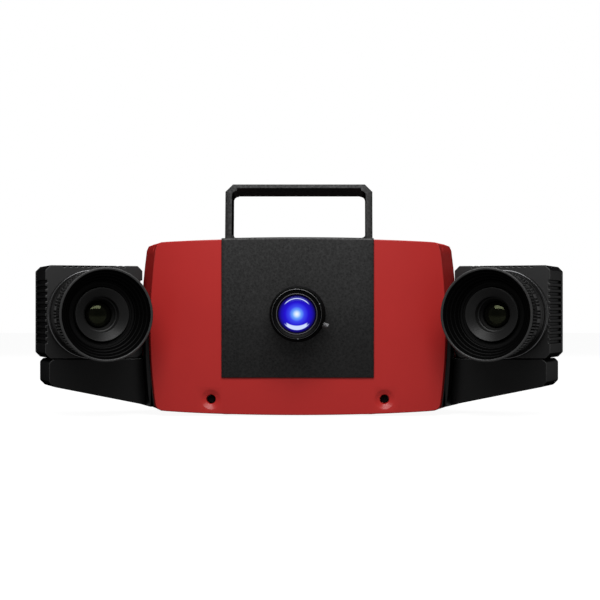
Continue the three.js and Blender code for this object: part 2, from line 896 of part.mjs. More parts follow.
function heatSink() {
  const front = engineBack + seatGap;
  const low = lensHeight - engineHalfHeight;
  const high = lensHeight + engineHalfHeight;
  const pitch = (2 * sinkHalfWidth - sinkFin) / (finCount - 1);
  let sink = block([-sinkHalfWidth, front, low], [sinkHalfWidth, front + sinkBase, high]);
  for (let i = 0; i < finCount; i += 1) {
    const x = i * pitch - sinkHalfWidth;
    sink = sink.add(block([x, front, low], [x + sinkFin, front + sinkDepth, high]));
  }
  return piece("heat_sink", sink, "aluminium");
}

// Fan: a square frame with three struts and an axle, and a rotor with twisted blades
function fanFrame() {
  const back = fanBack;
  const front = fanFront;
  const shell = block(
    [-fanHalfWidth, front, lensHeight - fanHalfWidth],
    [fanHalfWidth, back, lensHeight + fanHalfWidth],
  );
  const place = (geometry) => solid(geometry.translate(0, 0, lensHeight));
  const bore = place(rod(fanBore, -back - overrun, -front + overrun, middleSides));
  const strutFront = back - fanStrutThickness;
  let frame = shell.subtract(bore);
  for (let i = 0; i < 3; i += 1) {
    const strut = new THREE.BoxGeometry(fanStrut, fanStrutThickness, fanBore + joinOverlap);
    strut.translate(0, (strutFront + back) / 2, (fanBore + joinOverlap) / 2);
    frame = frame.add(place(strut.rotateY((i * 2 * Math.PI) / 3)));
  }
  frame = frame
    .add(place(rod(fanHubRadius, -back, -strutFront, smallSides)))
    .add(place(rod(fanAxleRadius, -back, -front, smallSides)));
  return piece("fan_frame", frame, "blackPlastic");
}

function fanRotor() {
  const hubBack = fanBack - fanStrutThickness - turnGap;
  const hubFront = fanFront;
  const bladeReach = fanBore - fanTipGap;
  const chord = (hubBack - hubFront) / Math.cos(bladeTwist) - bladeThickness;
  let rotor = solid(rod(fanHubRadius, -hubBack, -hubFront, smallSides));
  for (let i = 0; i < bladeCount; i += 1) {
    const blade = new THREE.BoxGeometry(bladeThickness, chord, bladeReach - fanHubRadius + joinOverlap);
    blade.rotateZ(bladeTwist);
    blade.translate(0, (hubBack + hubFront) / 2, (bladeReach + fanHubRadius - joinOverlap) / 2);
    rotor = rotor.add(solid(blade.rotateY((i * 2 * Math.PI) / bladeCount)));
  }
  const swept = rod(bladeReach, -hubBack, -hubFront, middleSides);
  const bore = rod(fanAxleRadius + turnGap, -hubBack - overrun, -hubFront + overrun, smallSides);
  rotor = rotor.intersect(solid(swept)).subtract(solid(bore));
  const mesh = piece("fan_rotor", rotor, "blackPlastic");
  mesh.position.z = lensHeight;
  return mesh;
}

// Rear panel with slots for the fan, side vents and openings for its ports
function upright(x, z, halfWidth, halfHeight, front, back) {
  return block([x - halfWidth, front, z - halfHeight], [x + halfWidth, back, z + halfHeight]);
}

function rearPanel() {
  const cutFront = rearPanelFront - overrun;
  const cutBack = rearPanelBack + overrun;
  let panel = bodyForm(-bodyWall - seatGap, rearPanelFront, rearPanelBack);
  for (let i = 0; i < fanSlotCount; i += 1) {
    const x = (i - (fanSlotCount - 1) / 2) * slotPitch;
    const half = Math.sqrt(fanBore ** 2 - x ** 2) - slotWidth / 2;
    panel = panel.subtract(upright(x, lensHeight, slotWidth / 2, half, cutFront, cutBack));
  }
  for (const side of [-1, 1]) {
    for (let i = 0; i < ventSlotCount; i += 1) {
      const x = side * ventCentreX + (i - (ventSlotCount - 1) / 2) * slotPitch;
      const half = ventSlotHeight / 2;
      panel = panel.subtract(upright(x, ventCentreZ, slotWidth / 2, half, cutFront, cutBack));
    }
  }
  const ports = [
    [powerPortX, powerPortRadius],
    [networkPortX, networkPortRadius],
    [syncPortX, syncPortRadius],
  ];
  for (const [x, radius] of ports) {
    const hole = rod(radius + seatGap, -cutBack, -cutFront, smallSides);
    panel = panel.subtract(solid(hole.translate(x, 0, portHeight)));
  }
  const cut = [switchHalfWidth + seatGap, switchHalfHeight + seatGap];
  panel = panel.subtract(upright(switchX, portHeight, ...cut, cutFront, cutBack));
  return piece("rear_panel", panel, "blackMetal");
}

// A round locking connector: a body behind the panel, a flange, a rim and a solid insert
function port(name, x, radius) {
  const mouth = portFlange + seatGap;
  const profile = [
    [0, portDepth],
    [radius, portDepth],
    [radius, -seatGap],
    [radius + portFlange, -seatGap],
    [radius + portFlange, -mouth],
    [radius - portRim, -mouth],
    [radius - portRim, portRecess - mouth],
    [0, portRecess - mouth],
  ];
  const connector = piece(name, turned(profile, smallSides), "steel");
  connector.position.set(x, rearPanelBack, portHeight);
  return connector;
}

// Power switch: a bezel in the rear panel and a rocker that rests tilted in it
function switchBezel() {
  const back = rearPanelBack + seatGap;
  const mouth = back + portFlange;
  const front = mouth - switchDepth;
  const at = (margin, from, to) =>
    upright(switchX, portHeight, switchHalfWidth + margin, switchHalfHeight + margin, from, to);
  const bezel = at(0, front, mouth)
    .add(at(portFlange, back, mouth))
    .subtract(at(-switchWall, front + switchWall, mouth + overrun));
  return piece("switch_bezel", bezel, "blackPlastic");
}

function powerRocker() {
  const halfWidth = switchHalfWidth - switchWall - turnGap;
  const halfHeight = switchHalfHeight - switchWall - rockerEase;
  const shape = new THREE.Shape();
  shape.moveTo(-halfHeight, 0);
  shape.lineTo(-halfHeight, rockerEnd);
  shape.quadraticCurveTo(0, rockerCrown - rockerEnd, halfHeight, rockerEnd);
  shape.lineTo(halfHeight, 0);
  shape.lineTo(0, -rockerBelly);
  const settings = { depth: 2 * halfWidth, bevelEnabled: false, curveSegments: curveSteps };
  const body = new THREE.ExtrudeGeometry(shape, settings).translate(0, 0, -halfWidth);
  body.rotateY(-Math.PI / 2).rotateX(-rockerTilt);
  const rocker = piece("power_rocker", body, "blackPlastic");
  const pivot = rearPanelBack + seatGap + portFlange - switchPivotDepth - rockerEnd;
  rocker.position.set(switchX, pivot, portHeight);
  return rocker;
}

// Control board on stand-offs, and the power supply beside the engine
function controlBoard() {
  const low = chassisTop + seatGap;
  const under = low + boardStand;
  const over = under + boardThickness;
  const middleX = (boardInner + boardOuter) / 2;
  const middleY = (boardFront + boardBack) / 2;
  let board = block([-boardOuter, boardFront, under], [-boardInner, boardBack, over]);
  for (const x of [-boardOuter + standInset, -boardInner - standInset]) {
    for (const y of [boardFront + standInset, boardBack - standInset]) {
      const stand = rod(standRadius, low, under + boardThickness / 2, smallSides / 2, false);
      board = board.add(solid(stand.translate(x, y, 0)));
    }
  }
  board = board
    .add(
      block(
        [-middleX - chipHalfWidth, middleY - chipHalfWidth, under],
        [-middleX + chipHalfWidth, middleY + chipHalfWidth, over + chipHeight],
      ),
    )
    .add(
      block(
        [-boardOuter + plugWidth, boardBack - plugWidth, under],
        [-boardInner - 2 * plugWidth, boardBack, over + plugHeight],
      ),
    );
  return piece("control_board", board, "board");
}

function powerSupply() {
  const low = chassisTop + seatGap;
  const high = low + supplyHeight;
  let supply = block([boardInner, boardFront, low], [boardOuter, boardBack, high]);
  for (let i = 0; i < supplySlotCount; i += 1) {
    const x = (boardInner + boardOuter) / 2 + (i - (supplySlotCount - 1) / 2) * slotPitch;
    const cut = block(
      [x - slotWidth / 2, boardFront + plugWidth, high - supplySlotDepth],
      [x + slotWidth / 2, boardBack - plugWidth, high + overrun],
    );
    supply = supply.subtract(cut);
  }
  return piece("power_supply", supply, "steel");
}

// Camera housing outline: chamfered corners, with grooves in both sides and the top
function housingOutline(grooved) {
  const w = housingHalfWidth;
  const low = housingBottom;
  const high = housingBottom + housingHeight;
  const c = housingChamfer;
  const points = [];
  const runs = [
    { from: [w, low + c], along: [0, 1], inwards: [-1, 0], length: housingHeight - 2 * c },
    { from: [w - c, high], along: [-1, 0], inwards: [0, -1], length: 2 * (w - c) },
    { from: [-w, high - c], along: [0, -1], inwards: [1, 0], length: housingHeight - 2 * c },
  ];
  points.push([c - w, low], [w - c, low]);
  for (const { from, along, inwards, length } of runs) {
    const at = (distance, depth) => [
      from[0] + along[0] * distance + inwards[0] * depth,
      from[1] + along[1] * distance + inwards[1] * depth,
    ];
    points.push(at(0, 0));
    for (let i = 0; grooved && i < grooveCount; i += 1) {
      const centre = length / 2 + (i - (grooveCount - 1) / 2) * groovePitch;
      const near = centre - grooveWidth / 2;
      const far = centre + grooveWidth / 2;
      points.push(at(near, 0), at(near, grooveDepth), at(far, grooveDepth), at(far, 0));
    }
    points.push(at(length, 0));
  }
  return new THREE.Shape(points.map(([x, z]) => new THREE.Vector2(x, z)));
}

function cavity(front, back) {
  return block(
    [housingWall - housingHalfWidth, front, housingBottom + housingWall],
    [housingHalfWidth - housingWall, back, housingBottom + housingHeight - housingWall],
  );
}

function cameraHousing(side, name) {
  const bore = rod(mountSpigot + seatGap, -housingWall - overrun, overrun, middleSides);
  bore.translate(side * lensOffset, -housingFront, cameraLensHeight);
  const bolt = rod(boltRadius + seatGap, -overrun, housingWall + overrun, smallSides, false);
  bolt.translate(0, 0, housingBottom);
  const housing = solid(slab(housingOutline(true), -housingFront, housingBack))
    .subtract(cavity(housingWall - housingFront, housingBack + overrun))
    .subtract(solid(bore))
    .subtract(solid(bolt));
  return piece(name, housing, "blackMetal");
}

function cameraBack(name) {
  const front = housingBack + housingBackGap;
  const back = solid(slab(housingOutline(false), front, front + backThickness));
  const recess = cavity(front - overrun, front + backRecess);
  return piece(name, back.subtract(recess), "blackMetal");
}

function sensorBoard(side, name) {
  const wall = housingWall - housingFront;
  const face = wall + sensorStand;
  const low = cameraLensHeight - sensorBoardHalfHeight;
  const high = cameraLensHeight + sensorBoardHalfHeight;
  const board = [
    [-sensorBoardHalfWidth, face, low],
    [sensorBoardHalfWidth, face + boardThickness, high],
  ];
  let made = block(...board);
  for (const x of [standInset - sensorBoardHalfWidth, sensorBoardHalfWidth - standInset]) {
    for (const z of [low + standInset, high - standInset]) {
      const stand = rod(standRadius, -face - boardThickness / 2, -wall - seatGap, smallSides / 2);
      made = made.add(solid(stand.translate(x, 0, z)));
    }
  }
  const lensX = side * lensOffset;
  const sensor = block(
    [lensX - sensorHalfWidth, face - sensorHeight, cameraLensHeight - sensorHalfHeight],
    [lensX + sensorHalfWidth, face + boardThickness, cameraLensHeight + sensorHalfHeight],
  );
  return piece(name, made.add(sensor), "board");
}

// Camera lens: a fixed mount, barrel and hood, turning iris and focus rings, a sliding cell
function lensMountRing(name) {
  const profile = [
    [mountBore, -housingWall],
    [mountSpigot, -housingWall],
    [mountSpigot, seatGap],
    [mountRadius, seatGap],
    [mountRadius, mountThickness - mountChamfer],
    [mountRadius - mountChamfer, mountThickness],
    [mountBore, mountThickness],
  ];
  return piece(name, turned(profile, largeSides), "blackMetal");
}

function lensBarrel(name) {
  const back = mountThickness + seatGap;
  const profile = [
    [barrelBore, back],
    [barrelRadius, back],
    [barrelRadius, barrelFront],
    [barrelBore, barrelFront],
  ];
  return piece(name, turned(profile, middleSides), "blackMetal");
}

const irisBack = mountThickness + turnGap;
const irisFront = irisBack + irisThickness;

function irisRing(name) {
  const inner = barrelRadius + turnGap;
  const profile = [
    [inner, irisBack],
    [irisRadius, irisBack],
    [irisRadius, irisFront - irisChamfer],
    [irisRadius - irisChamfer, irisFront],
    [inner, irisFront],
  ];
  return piece(name, turned(profile, largeSides), "blackMetal");
}

// A ribbed grip round a ring, sunk a little into it
function grip(radius, back, front) {
  return solid(ribbedRing(radius - gripDepth, radius, gripRib, gripRibs, back, front));
}

function focusRing(name) {
  const inner = barrelRadius + turnGap;
  const back = irisFront + turnGap;
  const profile = [
    [inner, back],
    [focusRadius, back],
    [focusRadius, focusFront],
    [inner, focusFront],
  ];
  const ring = solid(turned(profile, largeSides));
  return piece(name, ring.add(grip(focusRadius, focusRibBack, focusFront)), "rubber");
}

function lensCell(name) {
  const profile = [
    [cellBore, cellBack],
    [cellRadius, cellBack],
    [cellRadius, cellFront],
    [cellMouth, cellFront],
    [cellWaist, cellWaistAlong],
    [cellWaist, cellShoulder],
    [cellBore, cellShoulder],
  ];
  return piece(name, turned(profile, middleSides), "blackMetal");
}

function lensFront(name) {
  const edge = lensGlassFront - lensGlassBack;
  const glass = lensGlass(lensGlassRadius, lensGlassBack, edge, lensGlassRise, smallSides);
  return piece(name, glass, "glass");
}

function lensHood(name) {
  const back = barrelFront + seatGap;
  const floor = back + hoodFloor;
  const profile = [
    [hoodBoreRadius, back],
    [hoodRootRadius, back],
    [hoodGripRadius, hoodGripBack],
    [hoodGripRadius, hoodGripFront],
    [hoodRimRadius, hoodGripFront],
    [hoodRimRadius, hoodFront],
    [hoodRimRadius - hoodRimWall, hoodFront],
  ];
  for (let i = hoodStepCount - 1; i >= 0; i -= 1) {
    const radius = hoodStepRadius + i * hoodStepRun;
    const height = floor + (hoodStepCount - 1 - i) * hoodStepRise;
    if (i === hoodStepCount - 1) profile.push([radius, height]);
    else profile.push([radius, height - hoodStepRise], [radius, height]);
  }
  profile.push([hoodBoreRadius, floor + (hoodStepCount - 1) * hoodStepRise]);
  const hood = solid(turned(profile, largeSides));
  return piece(name, hood.add(grip(hoodGripRadius, hoodGripBack, hoodGripFront)), "blackPlastic");
}

function cameraUnit(side, name) {
  const unit = new THREE.Group();
  unit.position.set(side * pivotX, pivotY, 0);
  unit.rotation.z = -side * toeIn;
  unit.add(
    cameraHousing(side, `${name}_camera_housing`),
    cameraBack(`${name}_camera_back`),
    sensorBoard(side, `${name}_sensor_board`),
  );
  const lens = new THREE.Group();
  lens.position.set(side * lensOffset, -housingFront, cameraLensHeight);
  lens.add(
    lensMountRing(`${name}_lens_mount`),
    lensBarrel(`${name}_lens_barrel`),
    irisRing(`${name}_iris_ring`),
    focusRing(`${name}_focus_ring`),
    lensCell(`${name}_lens_cell`),
    lensFront(`${name}_lens_glass`),
    lensHood(`${name}_lens_hood`),
  );
  unit.add(lens);
  return unit;
}

// Arm: a tapered beam in the camera's direction, joined to a flange that follows the body
function armBeam(side) {
  const outer = housingHalfWidth - armInset;
  const outline = [
    [outer, armTop - armTopChamfer],
    [outer - armTopChamfer, armTop],
    [outer - armLength, armTop],
    [outer - armLength, flangeBottom],
    [outer - armBottomChamfer - armSlopeRun, flangeBottom],
    [outer - armBottomChamfer, armEndBottom],
    [outer, armEndBottom + armBottomChamfer],
  ];
  const points = outline.map(([x, z]) => new THREE.Vector2(side * x, z));
  const front = armSetback - housingFront;
  const beam = slab(new THREE.Shape(points), front, front + armDepth);
  return solid(beam.rotateZ(-side * toeIn).translate(side * pivotX, pivotY, 0));
}

function armFlange(side) {
  const frontX = bodyHalfWidth(flangeFront) + flangePlate - sideBow / 2;
  const sideX = sideHalfWidth + flangePlate;
  const plan = [
    [chassisHalfWidth, flangeFront],
    [frontX, flangeFront],
    [sideX, flareDepth],
    [sideX, flangeBack],
    [chassisHalfWidth, flangeBack],
  ];
  const shape = new THREE.Shape(plan.map(([x, y]) => new THREE.Vector2(side * x, y)));
  const settings = { depth: armTop - flangeBottom, bevelEnabled: false };
  return solid(new THREE.ExtrudeGeometry(shape, settings).translate(0, 0, flangeBottom));
}

// The flange's front goes on up the body's side as a cheek of even thickness
function armCheek(side) {
  const ends = [side * chassisHalfWidth, side * (sideHalfWidth + cheekThickness)];
  const room = block(
    [Math.min(...ends), flangeFront, flangeBottom],
    [Math.max(...ends), cheekBack, cheekTop],
  );
  return bodyForm(cheekThickness, flangeFront, cheekBack).intersect(room);
}

function arm(side, name) {
  const ends = [side * (chassisHalfWidth + seatGap), side * tongueReach];
  const tongue = block(
    [Math.min(...ends), tongueFront, tongueBottom],
    [Math.max(...ends), tongueBack, tongueTop],
  );
  const padTop = housingBottom - seatGap;
  const pad = rod(padRadius, armTop - joinOverlap, padTop, middleSides, false);
  const counterbore = rod(boltHeadRadius + boltHeadGap, -overrun, boltSeat, middleSides, false);
  const hole = rod(boltRadius + seatGap, 0, housingBottom, smallSides, false);
  const place = (geometry) => solid(geometry.translate(side * pivotX, pivotY, 0));
  const body = bodyForm(seatGap, -overrun, bodyDepth + overrun);
  const made = armBeam(side)
    .add(armFlange(side))
    .add(armCheek(side))
    .subtract(body)
    .add(tongue)
    .add(place(pad))
    .subtract(place(counterbore))
    .subtract(place(hole));
  return piece(name, made, "blackMetal");
}

function swivelBolt(side, name) {
  const seat = boltSeat - seatGap;
  const profile = [
    [0, seat - boltHeadHeight],
    [boltHeadRadius, seat - boltHeadHeight],
    [boltHeadRadius, seat],
    [boltRadius, seat],
    [boltRadius, housingBottom + boltEngage],
    [0, housingBottom + boltEngage],
  ];
  const bolt = piece(name, turned(profile, smallSides, false), "steel");
  bolt.position.set(side * pivotX, pivotY, 0);
  return bolt;
}

// The whole scanner, in its own frame
const scanner = new THREE.Group();
scanner.position.y = -originY;
scanner.add(frontCover(), frontPanel(), bodyShell(), rearPanel(), chassis(), basePlate(), handle());
scanner.add(projectorLens(), projectorEngine(), heatSink(), fanFrame(), fanRotor());
scanner.add(port("power_port", powerPortX, powerPortRadius));
scanner.add(port("network_port", networkPortX, networkPortRadius));
scanner.add(port("sync_port", syncPortX, syncPortRadius));
scanner.add(switchBezel(), powerRocker());
scanner.add(controlBoard(), powerSupply());
for (const [side, name] of [
  [-1, "left"],
  [1, "right"],
]) {
  scanner.add(coverScrew(side, `cover_screw_${name}`), handleScrew(side, `handle_screw_${name}`));
  scanner.add(arm(side, `${name}_arm`), swivelBolt(side, `${name}_swivel_bolt`));
  scanner.add(cameraUnit(side, name));
}

const part = new THREE.Group();
part.add(scanner);

export default part;
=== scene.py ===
"""Dress the stereo three-d scanner: smooth surfaces, finishes, light and camera.

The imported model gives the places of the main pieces. Lengths are metres in the row frame:
X to the viewer's right, Y from the lenses to the back, Z up.
"""

import json
import logging
from dataclasses import dataclass, field
from enum import Enum
from functools import cache

import bpy
import numpy as np
from mathutils import Matrix, Vector


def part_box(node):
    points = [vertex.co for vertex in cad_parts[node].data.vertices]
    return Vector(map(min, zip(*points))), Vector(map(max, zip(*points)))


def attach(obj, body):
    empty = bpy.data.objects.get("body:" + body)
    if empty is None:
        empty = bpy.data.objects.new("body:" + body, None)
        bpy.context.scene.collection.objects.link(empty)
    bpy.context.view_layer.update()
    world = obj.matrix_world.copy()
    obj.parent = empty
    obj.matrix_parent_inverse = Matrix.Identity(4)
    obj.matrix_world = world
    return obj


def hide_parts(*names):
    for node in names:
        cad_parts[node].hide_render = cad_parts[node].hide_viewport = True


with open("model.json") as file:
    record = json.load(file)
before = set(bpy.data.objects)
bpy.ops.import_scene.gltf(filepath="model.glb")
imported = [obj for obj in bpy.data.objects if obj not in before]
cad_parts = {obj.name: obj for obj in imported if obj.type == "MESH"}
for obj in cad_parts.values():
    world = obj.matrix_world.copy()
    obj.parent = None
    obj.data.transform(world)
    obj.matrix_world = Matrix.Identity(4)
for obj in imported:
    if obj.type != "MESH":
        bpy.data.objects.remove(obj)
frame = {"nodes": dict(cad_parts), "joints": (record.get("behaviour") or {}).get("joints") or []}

log = logging.getLogger("scanner")

Array = np.ndarray
Socket = bpy.types.NodeSocket
Triple = tuple[float, float, float]
FULL_TURN = 2 * np.pi
WELD_DIGITS = 7


# Surfaces


@dataclass
class Surface:
    """Points, four-sided faces and caps of any number of sides, before they become a mesh."""

    points: Array
    quads: Array
    caps: list = field(default_factory=list)

    def joined(self, other: "Surface") -> "Surface":
        """Return both surfaces as one list of points and faces.

        Args:
            other: Surface whose points and faces follow this one's.

        Returns:
            The joined surface.
        """
        start = len(self.points)
        return Surface(
            np.vstack([self.points, other.points]),
            np.vstack([self.quads, other.quads + start]),
            self.caps + [[i + start for i in cap] for cap in other.caps],
        )

    def moved(self, place: Matrix) -> "Surface":
        """Return the surface carried by a 4 by 4 placement.

        Args:
            place: Turn and shift, applied to every point at once.

        Returns:
            The carried surface.
        """
        m = np.array(place)
        return Surface(self.points @ m[:3, :3].T + m[:3, 3], self.quads, self.caps)

    def welded(self) -> "Surface":
        """Return the surface with equal points made one and flat faces dropped.

        Points that agree to a ten-thousandth of a millimetre are one point, which closes
        seams and poles. A quad with two equal corners becomes a triangle.
        """
        keys = np.round(self.points, WELD_DIGITS)
        _, first, back = np.unique(keys, axis=0, return_index=True, return_inverse=True)
        back = back.reshape(-1)
        quads = back[self.quads]
        same = quads == np.roll(quads, -1, axis=1)
        whole = quads[~same.any(axis=1)]
        narrow = quads[same.sum(axis=1) == 1]
        keep = ~same[same.sum(axis=1) == 1]
        triangles = narrow[keep].reshape(-1, 3).tolist()
        caps = [back[np.array(cap)].tolist() for cap in self.caps]
        return Surface(self.points[first], whole, caps + triangles)

    def outward(self) -> "Surface":
        """Return the closed surface with its faces pointing out.

        The signed volume is the sum of the tetrahedra from the origin to each face. Where it
        is below zero, every face is turned round.
        """
        p = self.points
        q = self.quads
        total = 0.0
        if len(q):
            for a, b, c in ((0, 1, 2), (0, 2, 3)):
                total += np.einsum("ij,ij->i", p[q[:, a]], np.cross(p[q[:, b]], p[q[:, c]])).sum()
        for cap in self.caps:
            ring = p[np.array(cap)]
            total += np.einsum("ij,ij->i", np.broadcast_to(ring[0], ring[1:-1].shape),
                               np.cross(ring[1:-1], ring[2:])).sum()
        if total >= 0:
            return self
        return Surface(p, q[:, ::-1], [cap[::-1] for cap in self.caps])


def lattice(grid: Array, around: bool = False, along: bool = False, caps: bool = False) -> Surface:
    """Join a grid of points by four-sided faces.

    Face (i, j) joins rows i and i + 1 with columns j and j + 1.

    Args:
        grid: Points in rows and columns, shape (rows, columns, 3).
        around: Whether the last column joins the first.
        along: Whether the last row joins the first.
        caps: Whether the first and last rows are closed by one face each.

    Returns:
        The surface over the grid.
    """
    rows, columns = grid.shape[:2]
    index = np.arange(rows * columns).reshape(rows, columns)
    low = index if along else index[:-1]
    high = np.roll(index, -1, axis=0) if along else index[1:]
    if around:
        a, b = low, np.roll(low, -1, axis=1)
        d, c = high, np.roll(high, -1, axis=1)
    else:
        a, b = low[:, :-1], low[:, 1:]
        d, c = high[:, :-1], high[:, 1:]
    quads = np.stack([a, b, c, d], axis=-1).reshape(-1, 4)
    ends = [index[0][::-1].tolist(), index[-1].tolist()] if caps else []
    return Surface(grid.reshape(-1, 3), quads, ends)


def eased(points: Array, reach: float | Array, steps: int = 3, closed: bool = True) -> Array:
    """Round the corners of an outline.

    Each corner P becomes the curve (1-t)^2 A + 2t(1-t) P + t^2 B, where A and B lie at the
    given reach from P on its two sides, and no further than 45% of a side.

    Args:
        points: Corners, shape (n, 2).
        reach: How far each curve starts from its corner, one value or one for each corner.
        steps: Pieces of each curve.
        closed: Whether the outline closes. An open one keeps its end points.

    Returns:
        The rounded outline.
    """
    before = np.roll(points, 1, axis=0) - points
    after = np.roll(points, -1, axis=0) - points
    reach = np.broadcast_to(np.asarray(reach, float), len(points)).copy()
    if not closed:
        reach[[0, -1]] = 0
    spans = []
    for side in (before, after):
        length = np.linalg.norm(side, axis=1)
        length[length == 0] = 1
        spans.append(points + side * (np.minimum(reach, 0.45 * length) / length)[:, None])
    t = np.linspace(0, 1, steps + 1)[None, :, None]
    a, b = spans[0][:, None], spans[1][:, None]
    curve = (1 - t) ** 2 * a + 2 * t * (1 - t) * points[:, None] + t**2 * b
    flat = curve.reshape(-1, 2)
    moved = np.linalg.norm(flat - np.roll(flat, 1, axis=0), axis=1) > 1e-8
    return flat[moved]


def inset(points: Array, distance: float) -> Array:
    """Move a closed outline inwards along the mitre of each corner.

    The mitre of unit side normals m and n is (m + n) / (1 + m.n).

    Args:
        points: Outline, shape (n, 2), in either direction.
        distance: How far inwards. Below zero is outwards.

    Returns:
        The moved outline, point for point.
    """
    side = np.roll(points, -1, axis=0) - points
    side /= np.linalg.norm(side, axis=1)[:, None]
    x, y = points[:, 0], points[:, 1]
    area = np.sum(x * np.roll(y, -1) - np.roll(x, -1) * y)
    normal = np.stack([-side[:, 1], side[:, 0]], axis=1) * np.sign(area)
    last = np.roll(normal, 1, axis=0)
    mitre = (last + normal) / (1 + np.sum(last * normal, axis=1)).clip(0.3)[:, None]
    return points + distance * mitre


def all_round(sides: int) -> Array:
    """Return even angles over a full turn, without the last, which is the first."""
    return np.linspace(0, FULL_TURN, sides, endpoint=False)


def turned(profile: Array | list, sides: int = 96, ribs: Array | None = None,
           ease: float = 0, steps: int = 2) -> Surface:
    """Turn a profile of radius and distance forwards about the forward axis, which is -Y.

    Point (i, j) lies at angle 2 pi j / sides with radius r_i, plus the rib's height there.

    Args:
        profile: Radius and distance forwards, shape (n, 2). Ends off the axis are joined to
            each other, and ends on the axis meet in a pole.
        sides: Steps round the axis.
        ribs: Height added to the radius, shape (n, sides), or None.
        ease: How far its corners are rounded first.
        steps: Pieces of each rounded corner.

    Returns:
        The closed surface.
    """
    profile = np.array(profile, float)
    if ease:
        profile = eased(profile, ease, steps, closed=profile[0, 0] > 0)
    angle = all_round(sides)
    radius = profile[:, :1] + (0 if ribs is None else ribs)
    radius = np.broadcast_to(radius, (len(profile), sides))
    forward = np.broadcast_to(profile[:, 1:], radius.shape)
    grid = np.stack([radius * np.cos(angle), -forward, radius * np.sin(angle)], axis=-1)
    open_ends = profile[0, 0] > 0
    return lattice(grid, around=True, along=open_ends).welded().outward()


def domed_glass(radius: float, seat: float, edge: float, rise: float) -> Surface:
    """Return a domed glass: its edge is a cylinder and its face half an ellipse.

    Args:
        radius: Radius of the glass.
        seat: Where its flat back lies, forwards.
        edge: Where the cylinder ends and the dome starts.
        rise: How far the dome stands out.

    Returns:
        The closed surface.
    """
    turn = np.linspace(0, np.pi / 2, 13)
    dome = np.stack([radius * np.cos(turn), edge + rise * np.sin(turn)], axis=1)
    dome[-1, 0] = 0
    return turned(np.vstack([[[0, seat], [radius, seat]], dome]))


def slab(outline: Array, front: float, back: float, edge: float, steps: int = 2) -> Surface:
    """Carry an outline of X and Z from a front plane to a back plane, with eased rims.

    Ring k of a rim is the outline moved inwards by edge (1 - sin a) at edge (1 - cos a) from
    the plane, with a from nought to a quarter turn. A level ring on either side of each rim
    keeps the shading of the faces next to it flat.

    Args:
        outline: Closed outline, shape (n, 2).
        front: Y of the front plane.
        back: Y of the back plane.
        edge: Radius of the rims.
        steps: Pieces of each rim.

    Returns:
        The closed surface.
    """
    angle = np.linspace(0, np.pi / 2, steps + 1)
    level = edge * 1.3
    rim = [(inset(outline, level), 0)]
    rim += [(inset(outline, edge * (1 - np.sin(a))), edge * (1 - np.cos(a))) for a in angle]
    rim.append((outline, level))
    rings = [(ring, front + sink) for ring, sink in rim]
    rings += [(ring, back - sink) for ring, sink in rim[::-1]]
    grid = np.stack([np.insert(ring, 1, y, axis=1) for ring, y in rings])
    return lattice(grid, around=True, caps=True).outward()


def piece(name: str, surface: Surface, finish: bpy.types.Material, body: str,
          stands_for: tuple[str, ...] = (), sharp: float = 32) -> bpy.types.Object:
    """Make a mesh object of a surface, dress it and let it ride on a body.

    Args:
        name: Name of the object.
        surface: Closed surface in the row frame.
        finish: Material.
        body: Body of the frame that carries it.
        stands_for: CAD nodes that it replaces.
        sharp: Angle in degrees from which an edge stays sharp.

    Returns:
        The object.
    """
    mesh = bpy.data.meshes.new(name)
    mesh.from_pydata(surface.points.tolist(), [], surface.quads.tolist() + surface.caps)
    mesh.validate()
    mesh.polygons.foreach_set("use_smooth", np.ones(len(mesh.polygons), bool))
    mesh.set_sharp_from_angle(angle=np.radians(sharp))
    mesh.materials.append(finish)
    mesh.update()
    made = bpy.data.objects.new(name, mesh)
    bpy.context.scene.collection.objects.link(made)
    if stands_for:
        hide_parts(*stands_for)
    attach(made, body)
    log.info("%s: %d faces on %s", name, len(mesh.polygons), body)
    return made


# Shader groups and finishes


